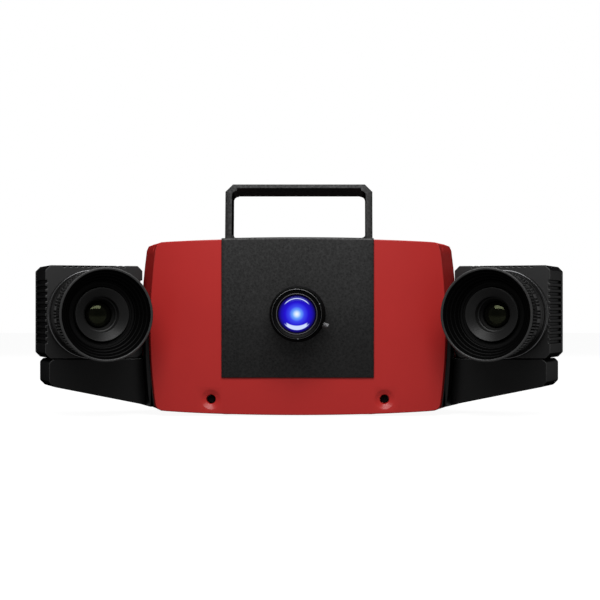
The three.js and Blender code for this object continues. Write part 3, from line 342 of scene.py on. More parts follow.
class Sheet:
    """A node tree with short calls to add and link nodes."""

    def __init__(self, tree: bpy.types.NodeTree) -> None:
        """Keep the tree that the nodes go into."""
        self.tree = tree

    def add(self, kind: str, **settings: object) -> bpy.types.Node:
        """Add a node and set its properties.

        Args:
            kind: Blender's name of the node type.
            **settings: Properties of the node.

        Returns:
            The node.
        """
        node = self.tree.nodes.new(kind)
        for name, value in settings.items():
            setattr(node, name, value)
        return node

    def link(self, out: Socket, into: Socket) -> None:
        """Join an output to an input."""
        self.tree.links.new(out, into)

    def math(self, operation: str, a: object, b: object = None) -> Socket:
        """Add a Math node.

        Args:
            operation: Blender's name of the operation.
            a: Socket or number for the first input.
            b: Socket or number for the second input, or None.

        Returns:
            The node's output.
        """
        node = self.add("ShaderNodeMath", operation=operation)
        for into, value in zip(node.inputs, (a, b)):
            if isinstance(value, Socket):
                self.link(value, into)
            elif value is not None:
                into.default_value = value
        return node.outputs[0]

    def length(self, a: Socket, b: Socket) -> Socket:
        """Add the length of two coordinates: the root of the sum of their squares."""
        squares = [self.math("MULTIPLY", value, value) for value in (a, b)]
        return self.math("SQRT", self.math("ADD", *squares))

    def parts(self, vector: Socket) -> bpy.types.bpy_prop_collection:
        """Add the split of a vector.

        Args:
            vector: Vector to split.

        Returns:
            Its X, Y and Z by name.
        """
        node = self.add("ShaderNodeSeparateXYZ")
        self.link(vector, node.inputs["Vector"])
        return node.outputs

    def step(self, value: Socket, low: float, high: float, start: float = 0.0,
             end: float = 1.0) -> Socket:
        """Add a smooth step from one number to another.

        Args:
            value: What the step follows.
            low: Value at which it starts.
            high: Value at which it ends.
            start: Number below the step.
            end: Number above the step.

        Returns:
            The step's output.
        """
        node = self.add("ShaderNodeMapRange", interpolation_type="SMOOTHSTEP")
        node.inputs["From Min"].default_value = low
        node.inputs["From Max"].default_value = high
        node.inputs["To Min"].default_value = start
        node.inputs["To Max"].default_value = end
        self.link(value, node.inputs["Value"])
        return node.outputs["Result"]

    def ramp(self, factor: Socket, stops: list) -> Socket:
        """Add a colour ramp.

        Args:
            factor: Where on the ramp.
            stops: Pairs of a place from 0 to 1 and an RGB colour.

        Returns:
            The ramp's colour.
        """
        node = self.add("ShaderNodeValToRGB")
        band = node.color_ramp.elements
        while len(band) < len(stops):
            band.new(0.5)
        for element, (place, colour) in zip(band, stops):
            element.position = place
            element.color = (*colour, 1)
        self.link(factor, node.inputs["Fac"])
        return node.outputs["Color"]

    def drifting_colour(self, mask: Socket, colour: Triple, drift: float) -> Socket:
        """Add a colour that drifts with a mask.

        It goes from the colour times one less the drift to the colour times one plus the
        drift, while the mask goes from 0.3 to 0.7.

        Args:
            mask: What the drift follows, from 0 to 1.
            colour: RGB in the middle of the drift.
            drift: Share of the colour by which it goes down and up.

        Returns:
            The colour.
        """
        low = [c * (1 - drift) for c in colour]
        high = [min(1, c * (1 + drift)) for c in colour]
        return self.ramp(mask, [(0.3, low), (0.7, high)])

    def drifting_number(self, mask: Socket, middle: float, drift: float) -> Socket:
        """Add a number that drifts with a mask: the middle plus 2 drift (mask - 1/2)."""
        swing = self.math("MULTIPLY", self.math("SUBTRACT", mask, 0.5), 2 * drift)
        return self.math("ADD", swing, middle)

    def raised(self, height: Socket, distance: float) -> Socket:
        """Add a bump.

        Args:
            height: Height from 0 to 1.
            distance: Metres that a height of 1 stands for.

        Returns:
            The normal.
        """
        bump = self.add("ShaderNodeBump")
        bump.inputs["Strength"].default_value = 1.0
        bump.inputs["Distance"].default_value = distance
        self.link(height, bump.inputs["Height"])
        return bump.outputs["Normal"]

    def about_axis(self, place: Matrix) -> Socket:
        """Add object coordinates that start from a piece's own axis.

        Args:
            place: Placement whose Y axis is the piece's axis.

        Returns:
            The coordinates.
        """
        mapping = self.add("ShaderNodeMapping", vector_type="TEXTURE")
        mapping.inputs["Location"].default_value = place.to_translation()
        mapping.inputs["Rotation"].default_value = place.to_euler()
        self.link(self.add("ShaderNodeTexCoord").outputs["Object"], mapping.inputs["Vector"])
        return mapping.outputs["Vector"]


def new_material(name: str) -> tuple[bpy.types.Material, Sheet, bpy.types.Node]:
    """Start a material of nodes.

    Args:
        name: Name of the material.

    Returns:
        The material, its sheet and its shader.
    """
    made = bpy.data.materials.new(name)
    made.use_nodes = True
    return made, Sheet(made.node_tree), made.node_tree.nodes["Principled BSDF"]


def new_group(name: str, inputs: dict, outputs: dict) -> tuple[bpy.types.NodeTree, Sheet, dict, dict]:
    """Start a shader node group with named sockets.

    Args:
        name: Name of the group.
        inputs: Socket name to its type and default value.
        outputs: Socket name to its type.

    Returns:
        The group, its sheet, the group's inputs by name, and its outputs by name.
    """
    tree = bpy.data.node_groups.new(name, "ShaderNodeTree")
    for label, (kind, default) in inputs.items():
        socket = tree.interface.new_socket(label, in_out="INPUT", socket_type=kind)
        if default is not None:
            socket.default_value = default
    for label, kind in outputs.items():
        tree.interface.new_socket(label, in_out="OUTPUT", socket_type=kind)
    sheet = Sheet(tree)
    source = sheet.add("NodeGroupInput")
    sink = sheet.add("NodeGroupOutput")
    return tree, sheet, source.outputs, sink.inputs


def grain_group() -> bpy.types.NodeTree:
    """Build the grain of powder coat, paint and anodising.

    Height is a mix of a cell pattern and a noise of half its size. Mask is the drift of the
    surface over centimetres, from nought to one.

    Returns:
        The node group with inputs Vector, Scale and Cells, and outputs Height and Mask.
    """
    tree, sheet, source, sink = new_group(
        "coat_grain",
        {
            "Vector": ("NodeSocketVector", None),
            "Scale": ("NodeSocketFloat", 900.0),
            "Cells": ("NodeSocketFloat", 0.5),
        },
        {"Height": "NodeSocketFloat", "Mask": "NodeSocketFloat"},
    )
    cells = sheet.add("ShaderNodeTexVoronoi", feature="SMOOTH_F1")
    sheet.link(source["Vector"], cells.inputs["Vector"])
    sheet.link(source["Scale"], cells.inputs["Scale"])
    noise = sheet.add("ShaderNodeTexNoise")
    noise.inputs["Detail"].default_value = 3
    sheet.link(source["Vector"], noise.inputs["Vector"])
    sheet.link(sheet.math("MULTIPLY", source["Scale"], 2.0), noise.inputs["Scale"])
    mix = sheet.add("ShaderNodeMix")
    sheet.link(source["Cells"], mix.inputs["Factor"])
    sheet.link(noise.outputs["Fac"], mix.inputs["A"])
    sheet.link(cells.outputs["Distance"], mix.inputs["B"])
    sheet.link(mix.outputs["Result"], sink["Height"])
    drift = sheet.add("ShaderNodeTexNoise")
    drift.inputs["Scale"].default_value = 18
    drift.inputs["Detail"].default_value = 4
    sheet.link(source["Vector"], drift.inputs["Vector"])
    sheet.link(drift.outputs["Fac"], sink["Mask"])
    return tree


def turning_group() -> bpy.types.NodeTree:
    """Build the fine lines that a lathe leaves round an axis.

    Height is a noise of the distance from the axis and of the distance along it, so it is
    the same all round.

    Returns:
        The node group with inputs Vector and Scale, and output Height.
    """
    tree, sheet, source, sink = new_group(
        "lathe_lines",
        {"Vector": ("NodeSocketVector", None), "Scale": ("NodeSocketFloat", 2500.0)},
        {"Height": "NodeSocketFloat"},
    )
    parts = sheet.parts(source["Vector"])
    join = sheet.add("ShaderNodeCombineXYZ")
    sheet.link(sheet.length(parts["X"], parts["Z"]), join.inputs["X"])
    sheet.link(parts["Y"], join.inputs["Y"])
    noise = sheet.add("ShaderNodeTexNoise")
    noise.inputs["Detail"].default_value = 2
    sheet.link(join.outputs["Vector"], noise.inputs["Vector"])
    sheet.link(source["Scale"], noise.inputs["Scale"])
    sheet.link(noise.outputs["Fac"], sink["Height"])
    return tree


MEAN_GRAIN = 0.4
MATT_FROM, MATT_TO = 0.62, 0.95


def matt_edge(sheet: Sheet, even: Socket, edge: float) -> Socket:
    """Return a roughness that rises where the surface turns away from the eye.

    It goes from the even roughness to the edge's by a smooth step of Layer Weight's facing,
    as fine coats scatter more at low angles.

    Args:
        sheet: Sheet of the material.
        even: Roughness seen straight on.
        edge: Roughness seen edge on.

    Returns:
        The roughness.
    """
    facing = sheet.add("ShaderNodeLayerWeight").outputs["Facing"]
    mix = sheet.add("ShaderNodeMix")
    sheet.link(sheet.step(facing, MATT_FROM, MATT_TO), mix.inputs["Factor"])
    sheet.link(even, mix.inputs["A"])
    mix.inputs["B"].default_value = edge
    return mix.outputs["Result"]


@dataclass(frozen=True)
class Coat:
    """A paint, powder coat, anodising, plastic or plating with its grain.

    A metal mirrors by itself. On the others the gloss is a coat that the grain breaks up and
    that fades at low angles, as fine matt coats do.
    """

    name: str
    colour: Triple
    roughness: float
    gloss: float = 0.3
    metallic: float = 0.0
    grain_scale: float = 900.0
    grain_cells: float = 0.5
    grain_height: float = 0.00002
    grain_gloss: float = 0.0
    drift: float = 0.12
    roughness_drift: float = 0.1
    fade_from: float = 0.45
    fade_to: float = 0.85

    @cache
    def material(self) -> bpy.types.Material:
        """Return the finish as a material, built on first use.

        Base colour is the written colour times one plus drift times the mask less a half, and
        roughness drifts by the same mask. The coat's weight is the gloss, times a step down
        with Layer Weight's facing, times one plus the grain's share of its height above the
        mean.
        """
        made, sheet, shader = new_material(f"{self.name}_finish")
        shader.inputs["Specular IOR Level"].default_value = 0.5 if self.metallic else 0.0
        shader.inputs["Metallic"].default_value = self.metallic
        shader.inputs["Coat Roughness"].default_value = self.roughness
        place = sheet.add("ShaderNodeTexCoord").outputs["Object"]
        grain = sheet.add("ShaderNodeGroup", node_tree=bpy.data.node_groups["coat_grain"])
        grain.inputs["Scale"].default_value = self.grain_scale
        grain.inputs["Cells"].default_value = self.grain_cells
        sheet.link(place, grain.inputs["Vector"])
        mask, height = grain.outputs["Mask"], grain.outputs["Height"]
        tint = sheet.drifting_colour(mask, self.colour, self.drift)
        sheet.link(tint, shader.inputs["Base Color"])
        roughness = sheet.drifting_number(mask, self.roughness, self.roughness_drift)
        sheet.link(roughness, shader.inputs["Roughness"])
        if not self.metallic:
            facing = sheet.add("ShaderNodeLayerWeight").outputs["Facing"]
            fade = sheet.step(facing, self.fade_from, self.fade_to, self.gloss, 0.0)
            above = sheet.math("SUBTRACT", height, MEAN_GRAIN)
            lift = sheet.math("MULTIPLY", above, self.grain_gloss)
            weight = sheet.math("MULTIPLY", fade, sheet.math("ADD", lift, 1.0))
            sheet.link(weight, shader.inputs["Coat Weight"])
        sheet.link(sheet.raised(height, self.grain_height), shader.inputs["Normal"])
        return made


@dataclass(frozen=True)
class TurnedMetal:
    """Metal off a lathe, with lines about its own axis."""

    name: str
    colour: Triple
    roughness: float
    metallic: float = 1.0
    specular: float = 0.5
    line_height: float = 0.000004
    edge_roughness: float = 1.0
    drift: float = 0.15
    roughness_drift: float = 0.1

    def material(self, label: str, place: Matrix) -> bpy.types.Material:
        """Return the finish for pieces about one axis.

        Args:
            label: Name of the axis, such as left_lens.
            place: Placement whose Y axis is the turning axis.

        Returns:
            The material.
        """
        made, sheet, shader = new_material(f"{self.name}_{label}")
        shader.inputs["Metallic"].default_value = self.metallic
        shader.inputs["Specular IOR Level"].default_value = self.specular
        lines = sheet.add("ShaderNodeGroup", node_tree=bpy.data.node_groups["lathe_lines"])
        sheet.link(sheet.about_axis(place), lines.inputs["Vector"])
        height = lines.outputs["Height"]
        tint = sheet.drifting_colour(height, self.colour, self.drift)
        sheet.link(tint, shader.inputs["Base Color"])
        even = sheet.drifting_number(height, self.roughness, self.roughness_drift)
        sheet.link(matt_edge(sheet, even, self.edge_roughness), shader.inputs["Roughness"])
        sheet.link(sheet.raised(height, self.line_height), shader.inputs["Normal"])
        return made


@dataclass(frozen=True)
class CoatedGlass:
    """Lens glass whose colour goes from its middle to its rim, with painted highlights where arc is set,
    clear where alpha is below one.
    """

    name: str
    bands: tuple
    radius: float
    glow: float = 0.0
    alpha: float = 1.0
    specular: float = 0.5
    tint: Triple = (1.0, 1.0, 1.0)
    ior: float = 1.62
    roughness: float = 0.03
    smear: float = 0.05
    smear_scale: float = 60.0
    unlit: Triple = (0.004, 0.003, 0.02)
    arc: float = 0.0
    arc_width: float = 0.035
    crescent_shift: float = 0.38
    crescent_edge: float = 0.985
    arc_colour: Triple = (0.62, 0.72, 1.0)

    def material(self, label: str, place: Matrix) -> bpy.types.Material:
        """Return the glass for one lens.

        The bands' mask is the distance from the lens axis over the lens radius. Lit glass
        gives out the bands' colour, and its own colour is the unlit one.

        Args:
            label: Name of the lens.
            place: Placement whose Y axis is the lens axis.

        Returns:
            The material.
        """
        made, sheet, shader = new_material(f"{self.name}_{label}")
        shader.inputs["IOR"].default_value = self.ior
        shader.inputs["Specular IOR Level"].default_value = self.specular
        shader.inputs["Specular Tint"].default_value = (*self.tint, 1)
        vector = sheet.about_axis(place)
        parts = sheet.parts(vector)
        across = sheet.math("DIVIDE", parts["X"], self.radius)
        upwards = sheet.math("DIVIDE", parts["Z"], self.radius)
        share = sheet.length(across, upwards)
        colour = sheet.ramp(share, list(self.bands))
        # Painted highlights: an arc and a crescent of light mixed into the colour that the glass gives
        # out.
        if self.arc:
            mix = sheet.add("ShaderNodeMix", data_type="RGBA")
            sheet.link(self.caught_light(sheet, across, upwards, share), mix.inputs["Factor"])
            sheet.link(colour, mix.inputs[6])
            mix.inputs[7].default_value = (*self.arc_colour, 1)
            colour = mix.outputs[2]
        if self.glow:
            sheet.link(colour, shader.inputs["Emission Color"])
            shader.inputs["Emission Strength"].default_value = self.glow
            shader.inputs["Base Color"].default_value = (*self.unlit, 1)
        else:
            sheet.link(colour, shader.inputs["Base Color"])
        smear = sheet.add("ShaderNodeTexNoise")
        smear.inputs["Scale"].default_value = self.smear_scale
        sheet.link(vector, smear.inputs["Vector"])
        haze = sheet.math("MULTIPLY", smear.outputs["Fac"], self.smear)
        sheet.link(sheet.math("ADD", haze, self.roughness), shader.inputs["Roughness"])
        shader.inputs["Alpha"].default_value = self.alpha
        return made

    def caught_light(self, sheet: Sheet, across: Socket, upwards: Socket, share: Socket) -> Socket:
        """Return the mask of the painted highlights on the inner lens edges.

        A thin arc lies at one radius above and below. Below, a crescent joins it: inside that
        radius, and outside a circle whose centre is shifted upwards.

        Args:
            sheet: Sheet of the material.
            across: Place across, in lens radii.
            upwards: Place upwards, in lens radii.
            share: Distance from the axis, in lens radii.

        Returns:
            The mask.
        """
        off = sheet.math("ABSOLUTE", sheet.math("SUBTRACT", share, self.arc))
        line = sheet.step(off, self.arc_width * 0.3, self.arc_width, 1.0, 0.0)
        height = sheet.math("ABSOLUTE", upwards)
        line = sheet.math("MULTIPLY", line, sheet.step(height, 0.48, 0.66))
        raised = sheet.math("SUBTRACT", upwards, self.crescent_shift)
        outer = sheet.length(across, raised)
        edge = self.crescent_edge
        painted_crescent = sheet.math("MULTIPLY", sheet.step(outer, edge, edge + 0.05),
                          sheet.step(share, self.arc - 0.01, self.arc + 0.03, 1.0, 0.0))
        width = sheet.step(sheet.math("ABSOLUTE", across), 0.48, 0.60, 1.0, 0.0)
        below = sheet.step(upwards, -0.4, -0.3, 1.0, 0.0)
        painted_crescent = sheet.math("MULTIPLY", painted_crescent, sheet.math("MULTIPLY", width, below))
        return sheet.math("MAXIMUM", line, painted_crescent)


class Finishes:
    """The finishes of this scanner."""

    red_paint = Coat("red_paint", (0.42, 0.024, 0.022), 0.29, gloss=0.5, grain_scale=420,
                     grain_cells=0.15, grain_height=0.000012, drift=0.03)
    powder_coat = Coat("black_powder_coat", (0.006, 0.006, 0.006), 0.42, gloss=0.6,
                       grain_scale=400, grain_cells=0.4, grain_height=0.0003, drift=0.25,
                       grain_gloss=2.6)
    handle_coat = Coat("handle_powder_coat", (0.0035, 0.0035, 0.0035), 0.42, gloss=0.40,
                       grain_scale=520, grain_cells=0.6, grain_height=0.00025, drift=0.25,
                       grain_gloss=2.4)
    anodised = Coat("black_anodised", (0.005, 0.005, 0.0052), 0.34, gloss=0.6,
                    grain_scale=2600, grain_cells=0.2, grain_height=0.000008, drift=0.15,
                    fade_to=0.885)
    housing_black = Coat("housing_black", (0.0075, 0.0075, 0.0077), 0.38, gloss=1.0,
                         grain_scale=2600, grain_cells=0.2, grain_height=0.000008, drift=0.15,
                         fade_to=0.87)
    knurl = Coat("black_knurl", (0.007, 0.007, 0.007), 0.38, gloss=0.55, grain_scale=3000,
                 grain_cells=0.2, grain_height=0.000006, drift=0.2, fade_from=0.35, fade_to=0.97)
    flocked = Coat("inner_black", (0.0012, 0.0012, 0.0012), 0.45, gloss=0.12, grain_scale=3000,
                   grain_cells=0.1, grain_height=0.00001, drift=0.2)
    plastic = Coat("black_plastic", (0.008, 0.008, 0.008), 0.5, gloss=0.4, grain_scale=1600,
                   grain_cells=0.4, drift=0.15)
    milled = Coat("milled_aluminium", (0.55, 0.56, 0.58), 0.35, grain_scale=1800,
                  grain_cells=0.1, grain_height=0.00001, drift=0.06, metallic=1.0)
    zinc = Coat("bright_zinc", (0.52, 0.53, 0.55), 0.28, grain_scale=2200,
                grain_cells=0.2, grain_height=0.000006, drift=0.1, metallic=1.0)
    mask_green = Coat("solder_mask", (0.02, 0.12, 0.04), 0.2, gloss=0.6, grain_cells=0.8,
                      grain_height=0.00003, drift=0.2)
    lens_black = TurnedMetal("lens_black", (0.004, 0.004, 0.004), 0.32, metallic=0.0,
                             specular=0.1)
    lens_grey = TurnedMetal("lens_grey", (0.011, 0.011, 0.011), 0.35, metallic=0.0,
                            specular=0.14)
    rim_grey = TurnedMetal("rim_grey", (0.028, 0.028, 0.028), 0.3, metallic=0.0, specular=0.34)
    ring_black = TurnedMetal("ring_black", (0.0012, 0.0012, 0.0012), 0.4, metallic=0.0,
                             specular=0.06)
    bright_ring = TurnedMetal("bright_ring", (0.35, 0.36, 0.38), 0.25)
    edge_ring = TurnedMetal("edge_ring", (0.32, 0.32, 0.33), 0.3)
    collar_grey = TurnedMetal("collar_grey", (0.09, 0.09, 0.09), 0.35)
    # Near black cover screws: painted shade at the bottom of the screw holes' bores.
    black_oxide = Coat("black_oxide", (0.002, 0.002, 0.002), 0.5, gloss=0.15)
    dark_steel = Coat("dark_steel", (0.09, 0.09, 0.093), 0.3, grain_scale=2200,
                      grain_cells=0.2, grain_height=0.000006, drift=0.1, metallic=1.0)
    dull_ring = TurnedMetal("dull_ring", (0.06, 0.056, 0.062), 0.4, metallic=0.0, specular=0.3)
    # Camera glass: the dark middle, the lighter ring and the dark rim in its colour are painted shade
    # and painted light of the inner lens seen through the glass.
    camera_glass = CoatedGlass(
        "camera_glass", ((0.0, (0.001, 0.001, 0.001)), (0.3, (0.001, 0.001, 0.001)),
                         (0.5, (0.0025, 0.0025, 0.002)), (0.8, (0.003, 0.003, 0.0026)),
                         (0.95, (0.0012, 0.0012, 0.0012))),
        0.0132, alpha=0.92, specular=0.2, tint=(0.9, 1.0, 0.55))
    # The arc and crescent of the projector glass are painted highlights.
    projector_glass = CoatedGlass(
        "projector_glass", ((0.0, (0.95, 0.93, 1.0)), (0.10, (0.62, 0.78, 1.0)),
                            (0.23, (0.14, 0.36, 0.95)), (0.40, (0.04, 0.06, 0.85)),
                            (0.62, (0.014, 0.004, 0.62)), (0.82, (0.007, 0.002, 0.38)),
                            (0.97, (0.003, 0.001, 0.07))),
        0.0182, glow=1.0, specular=0.06, tint=(0.7, 0.8, 1.0), arc=0.835, arc_width=0.032)


# Where things are


class Side(Enum):
    """Which side of the scanner, by the sign of its X."""

    LEFT = -1
    RIGHT = 1

    @property
    def label(self) -> str:
        """Return the side's name in node names."""
        return self.name.lower()


PANEL_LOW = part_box("front_panel")[0]
FRONT_Y = PANEL_LOW.y
JOINTS = {joint["name"]: joint for joint in frame["joints"]}


def body_place(x: float = 0, y: float = 0, z: float = 0) -> Matrix:
    """Return a placement in the body's own lengths, whose Y starts at the front panel."""
    return Matrix.Translation((x, FRONT_Y + y, z))


# The body


@dataclass
class Body:
    """The red cover, the red shell behind it and the black panel."""

    side_half_width: float = 0.1643
    flare_width: float = 0.0153
    taper_width: float = 0.0073
    bottom: float = 0.001
    height: float = 0.177
    side_bow: float = 0.0052
    top_bow: float = 0.0032
    bottom_bow: float = 0.0037
    corner: float = 0.009
    wall: float = 0.003
    face: float = 0.0019
    cover_depth: float = 0.024
    seam: float = 0.0001
    wing_depth: float = 0.010
    flat_half_width: float = 0.078
    flare_depth: float = 0.065
    taper_depth: float = 0.112
    depth: float = 0.140
    rear_chamfer: float = 0.0025
    rim: float = 0.0008
    screw_x: float = 0.087
    screw_z: float = 0.0168
    dimple_radius: float = 0.00975
    dimple_depth: float = 0.0029
    bore_radius: float = 0.0046
    bore_depth: float = 0.0135
    boss_radius: float = 0.0085
    hole_room: float = 0.0122
    hole_lines: int = 9
    grid_reach: float = 0.145
    grid_low: float = 0.012
    grid_high: float = 0.17
    panel_half_width: float = 0.07625
    panel_rise: float = 0.0013
    panel_thickness: float = 0.0016
    panel_depth: float = 0.048
    panel_bend: float = 0.0022
    panel_edge: float = 0.0004

    def half_width(self, y: Array) -> Array:
        """Return the half width at a depth: a flare, a straight stretch and a taper.

        Args:
            y: Depths behind the front panel's face.

        Returns:
            The half widths.
        """
        edge = self.face + self.wing_depth
        front = self.side_half_width - self.flare_width
        slope = self.flare_width / (self.flare_depth - edge)
        depths = [0, self.flare_depth, self.taper_depth, self.depth]
        widths = [front - slope * edge, self.side_half_width, self.side_half_width,
                  self.side_half_width - self.taper_width]
        return np.interp(y, depths, widths)

    def front(self, x: Array) -> Array:
        """Return the cover's front Y at an X: flat in the middle, a parabola in the wings.

        Args:
            x: Places across.

        Returns:
            The front's depths.
        """
        run = self.side_half_width - self.flare_width - self.flat_half_width
        out = np.clip(np.abs(x) - self.flat_half_width, 0, None)
        return self.face + self.wing_depth * (out / run) ** 2

    def edges(self, half_width: float, grow: float = 0) -> list[Array]:
        """Return the outline's four long edges, each from the middle of a corner to the next.

        The outline is made of quadratic curves: bowed edges, and corners whose control point
        is the sharp corner.

        Args:
            half_width: Half of the width at mid height.
            grow: How far outwards the outline moves.

        Returns:
            Bottom and top from left to right, left and right from bottom to top, as X and Z.
        """
        side = half_width + grow
        x = side - self.side_bow
        top, bottom = self.bottom + self.height + grow, self.bottom - grow
        high, low = top - self.top_bow, bottom + self.bottom_bow
        r = self.corner + min(grow, 0)
        bulge, middle = side + self.side_bow, (top + bottom) / 2

        def curve(a: tuple, b: tuple, c: tuple, t: Array) -> Array:
            """Return points of the quadratic curve from a to c with control b, at shares t."""
            a, b, c, t = np.array(a), np.array(b), np.array(c), t[:, None]
            return (1 - t) ** 2 * a + 2 * t * (1 - t) * b + t**2 * c

        steps = 7
        halves = np.concatenate([np.linspace(0.5, 1, steps), np.linspace(0, 0.5, steps)])
        whole = np.linspace(0, 1, 41)[1:-1]
        mirror = np.array([-1, 1])
        level, corners = [], []
        for z, up, bow in ((low, r, bottom - self.bottom_bow), (high, -r, top + self.top_bow)):
            corner = curve((x, z + up), (x, z), (x - r, z), halves)
            edge = curve((r - x, z), (0, bow), (x - r, z), whole)
            level.append(np.vstack([corner[:steps] * mirror, edge, corner[:steps][::-1]]))
            corners.append(corner[steps:])
        edge = curve((x, low + r), (bulge, middle), (x, high - r), whole)
        right = np.vstack([corners[0][::-1], edge, corners[1]])
        return [*level, right * mirror, right]

    def boundary(self, half_width: float, grow: float, s: Array, t: Array) -> list[Array]:
        """Sample the four edges at shares of their run.

        Bottom and top are sampled by their X, left and right by their Z.

        Args:
            half_width: Half of the width at mid height.
            grow: How far outwards the outline moves.
            s: Shares across, from 0 to 1.
            t: Shares upwards, from 0 to 1.

        Returns:
            Bottom, top, left and right as X and Z.
        """
        sampled = []
        for index, line in enumerate(self.edges(half_width, grow)):
            axis, share = (0, s) if index < 2 else (1, t)
            at = line[0, axis] + share * (line[-1, axis] - line[0, axis])
            other = np.interp(at, line[:, axis], line[:, 1 - axis])
            pair = (at, other) if axis == 0 else (other, at)
            sampled.append(np.stack(pair, axis=1))
        return sampled

    def patch(self, edges: list[Array], s: Array, t: Array) -> Array:
        """Fill four edges with a Coons patch.

        P(s, t) is the sum of the two ruled surfaces less the bilinear surface of the corners.

        Args:
            edges: Bottom, top, left and right as X and Z.
            s: Shares across.
            t: Shares upwards.

        Returns:
            Grid of X and Z, shape (len(t), len(s), 2).
        """
        low, high, left, right = edges
        s, t = s[None, :, None], t[:, None, None]
        ruled = (1 - t) * low[None] + t * high[None] + (1 - s) * left[:, None] + s * right[:, None]
        corners = ((1 - t) * ((1 - s) * low[0] + s * low[-1])
                   + t * ((1 - s) * high[0] + s * high[-1]))
        return ruled - corners

    def ring(self, edges: list[Array]) -> Array:
        """Return the four edges as one closed outline."""
        low, high, left, right = edges
        return np.vstack([low[:-1], right[:-1], high[::-1][:-1], left[::-1][:-1]])

    def on_front(self, flat: Array, sink: float = 0) -> Array:
        """Return points of X and Z laid on the cover's front, or sunk behind it."""
        return np.insert(flat, 1, self.front(flat[..., 0]) + sink, axis=-1)

    def grid_lines(self, even: Array, middles: tuple[float, ...]) -> Array:
        """Return the face's grid lines along one axis, with a block of lines about each hole.

        Args:
            even: Lines over the whole face. Those inside a block are left out.
            middles: Where the holes' middles lie.

        Returns:
            The lines in order.
        """
        around = np.linspace(-self.hole_room, self.hole_room, self.hole_lines)
        blocks = np.concatenate([middle + around for middle in middles])
        lines = np.unique(np.round(np.concatenate([even, blocks]), 5))
        inside = np.abs(lines[:, None] - np.array(middles)).min(axis=1) < self.hole_room - 1e-4
        own = np.isclose(lines[:, None], blocks, atol=2e-5).any(axis=1)
        return lines[~inside | own]

    def cover(self) -> Surface:
        """Return the front cover: its face, eased rim, side, back rim and inside.

        The face is a Coons patch of X and Z whose Y is the front's formula.
        """
        columns = np.linspace(-self.grid_reach, self.grid_reach, 45)
        rows = np.linspace(self.grid_low, self.grid_high, 28)
        x_lines = self.grid_lines(columns, (-self.screw_x, self.screw_x))
        z_lines = self.grid_lines(rows, (self.screw_z,))
        span = self.side_half_width - self.flare_width
        s = np.concatenate([[0], (x_lines + span) / (2 * span), [1]])
        t = np.concatenate([[0], (z_lines - self.bottom) / self.height, [1]])
        s, t = np.unique(s.clip(0, 1)), np.unique(t.clip(0, 1))
        front = self.half_width(self.face + self.wing_depth)
        grid = self.on_front(self.patch(self.boundary(front, -self.rim, s, t), s, t))
        inner = self.patch(self.boundary(front, -self.wall, s, t), s, t)
        made = self.pierced(grid, self.on_front(inner, self.wall))
        rims = []
        for a in np.linspace(0, np.pi / 2, 5):
            outline = self.ring(self.boundary(front, -self.rim * (1 - np.sin(a)), s, t))
            rims.append(self.on_front(outline, self.rim * (1 - np.cos(a))))
        for share in (0.15, 0.5, 1):
            y = rims[4][:, 1] * (1 - share) + self.cover_depth * share
            rims.append(self.at_depth(y, 0, s, t))
        back = np.full(len(rims[0]), self.cover_depth)
        rims.append(self.at_depth(back, -self.wall, s, t))
        outline = self.ring(self.boundary(front, -self.wall, s, t))
        rims.append(self.on_front(outline, self.wall))
        return made.joined(lattice(np.stack(rims), around=True)).welded().outward()

    def pierced(self, grid: Array, inner: Array) -> Surface:
        """Return the cover's face and the lid behind it, with the two screw holes.

        Round each screw a block of faces gives way to rings that run down the cone into the
        bore and back along the boss to the lid.

        Args:
            grid: Points of the face in rows and columns.
            inner: Points of the lid, in the same order.

        Returns:
            Face, lid and holes as one surface, open at the rim.
        """
        face, lid = lattice(grid), lattice(inner)
        rows, cols = grid.shape[:2]
        cells = np.arange((rows - 1) * (cols - 1)).reshape(rows - 1, cols - 1)
        index = np.arange(rows * cols).reshape(rows, cols)
        middle = (grid[:-1, :-1] + grid[1:, 1:]) / 2
        drop = np.zeros(cells.size, bool)
        holes = []
        for side in Side:
            block = (np.abs(middle[..., 0] - side.value * self.screw_x) < self.hole_room) & (
                np.abs(middle[..., 2] - self.screw_z) < self.hole_room)
            i, j = np.nonzero(block)
            i0, i1, j0, j1 = i.min(), i.max() + 1, j.min(), j.max() + 1
            drop[cells[i0:i1, j0:j1].ravel()] = True
            loop = np.concatenate([index[i0, j0:j1], index[i0:i1, j1],
                                   index[i1, j1:j0:-1], index[i1:i0:-1, j0]])
            holes.append(self.hole(grid.reshape(-1, 3)[loop], inner.reshape(-1, 3)[loop], side))
        face.quads = face.quads[~drop]
        lid.quads = lid.quads[~drop][:, ::-1]
        made = face.joined(lid)
        for hole in holes:
            made = made.joined(hole)
        return made

    def at_depth(self, y: Array, grow: float, s: Array, t: Array) -> Array:
        """Return the body's outline with each point at its own depth.

        Args:
            y: Depth of each point of the ring.
            grow: How far outwards the outline moves.
            s: Shares across.
            t: Shares upwards.

        Returns:
            Ring of points. X moves between the narrowest and the widest outline by the half
            width at the point's depth.
        """
        narrow, wide = self.half_width(0), self.side_half_width
        low = self.ring(self.boundary(narrow, grow, s, t))
        high = self.ring(self.boundary(wide, grow, s, t))
        share = ((self.half_width(y) - narrow) / (wide - narrow))[:, None]
        outline = low * (1 - share) + high * share
        return np.insert(outline, 1, y, axis=1)

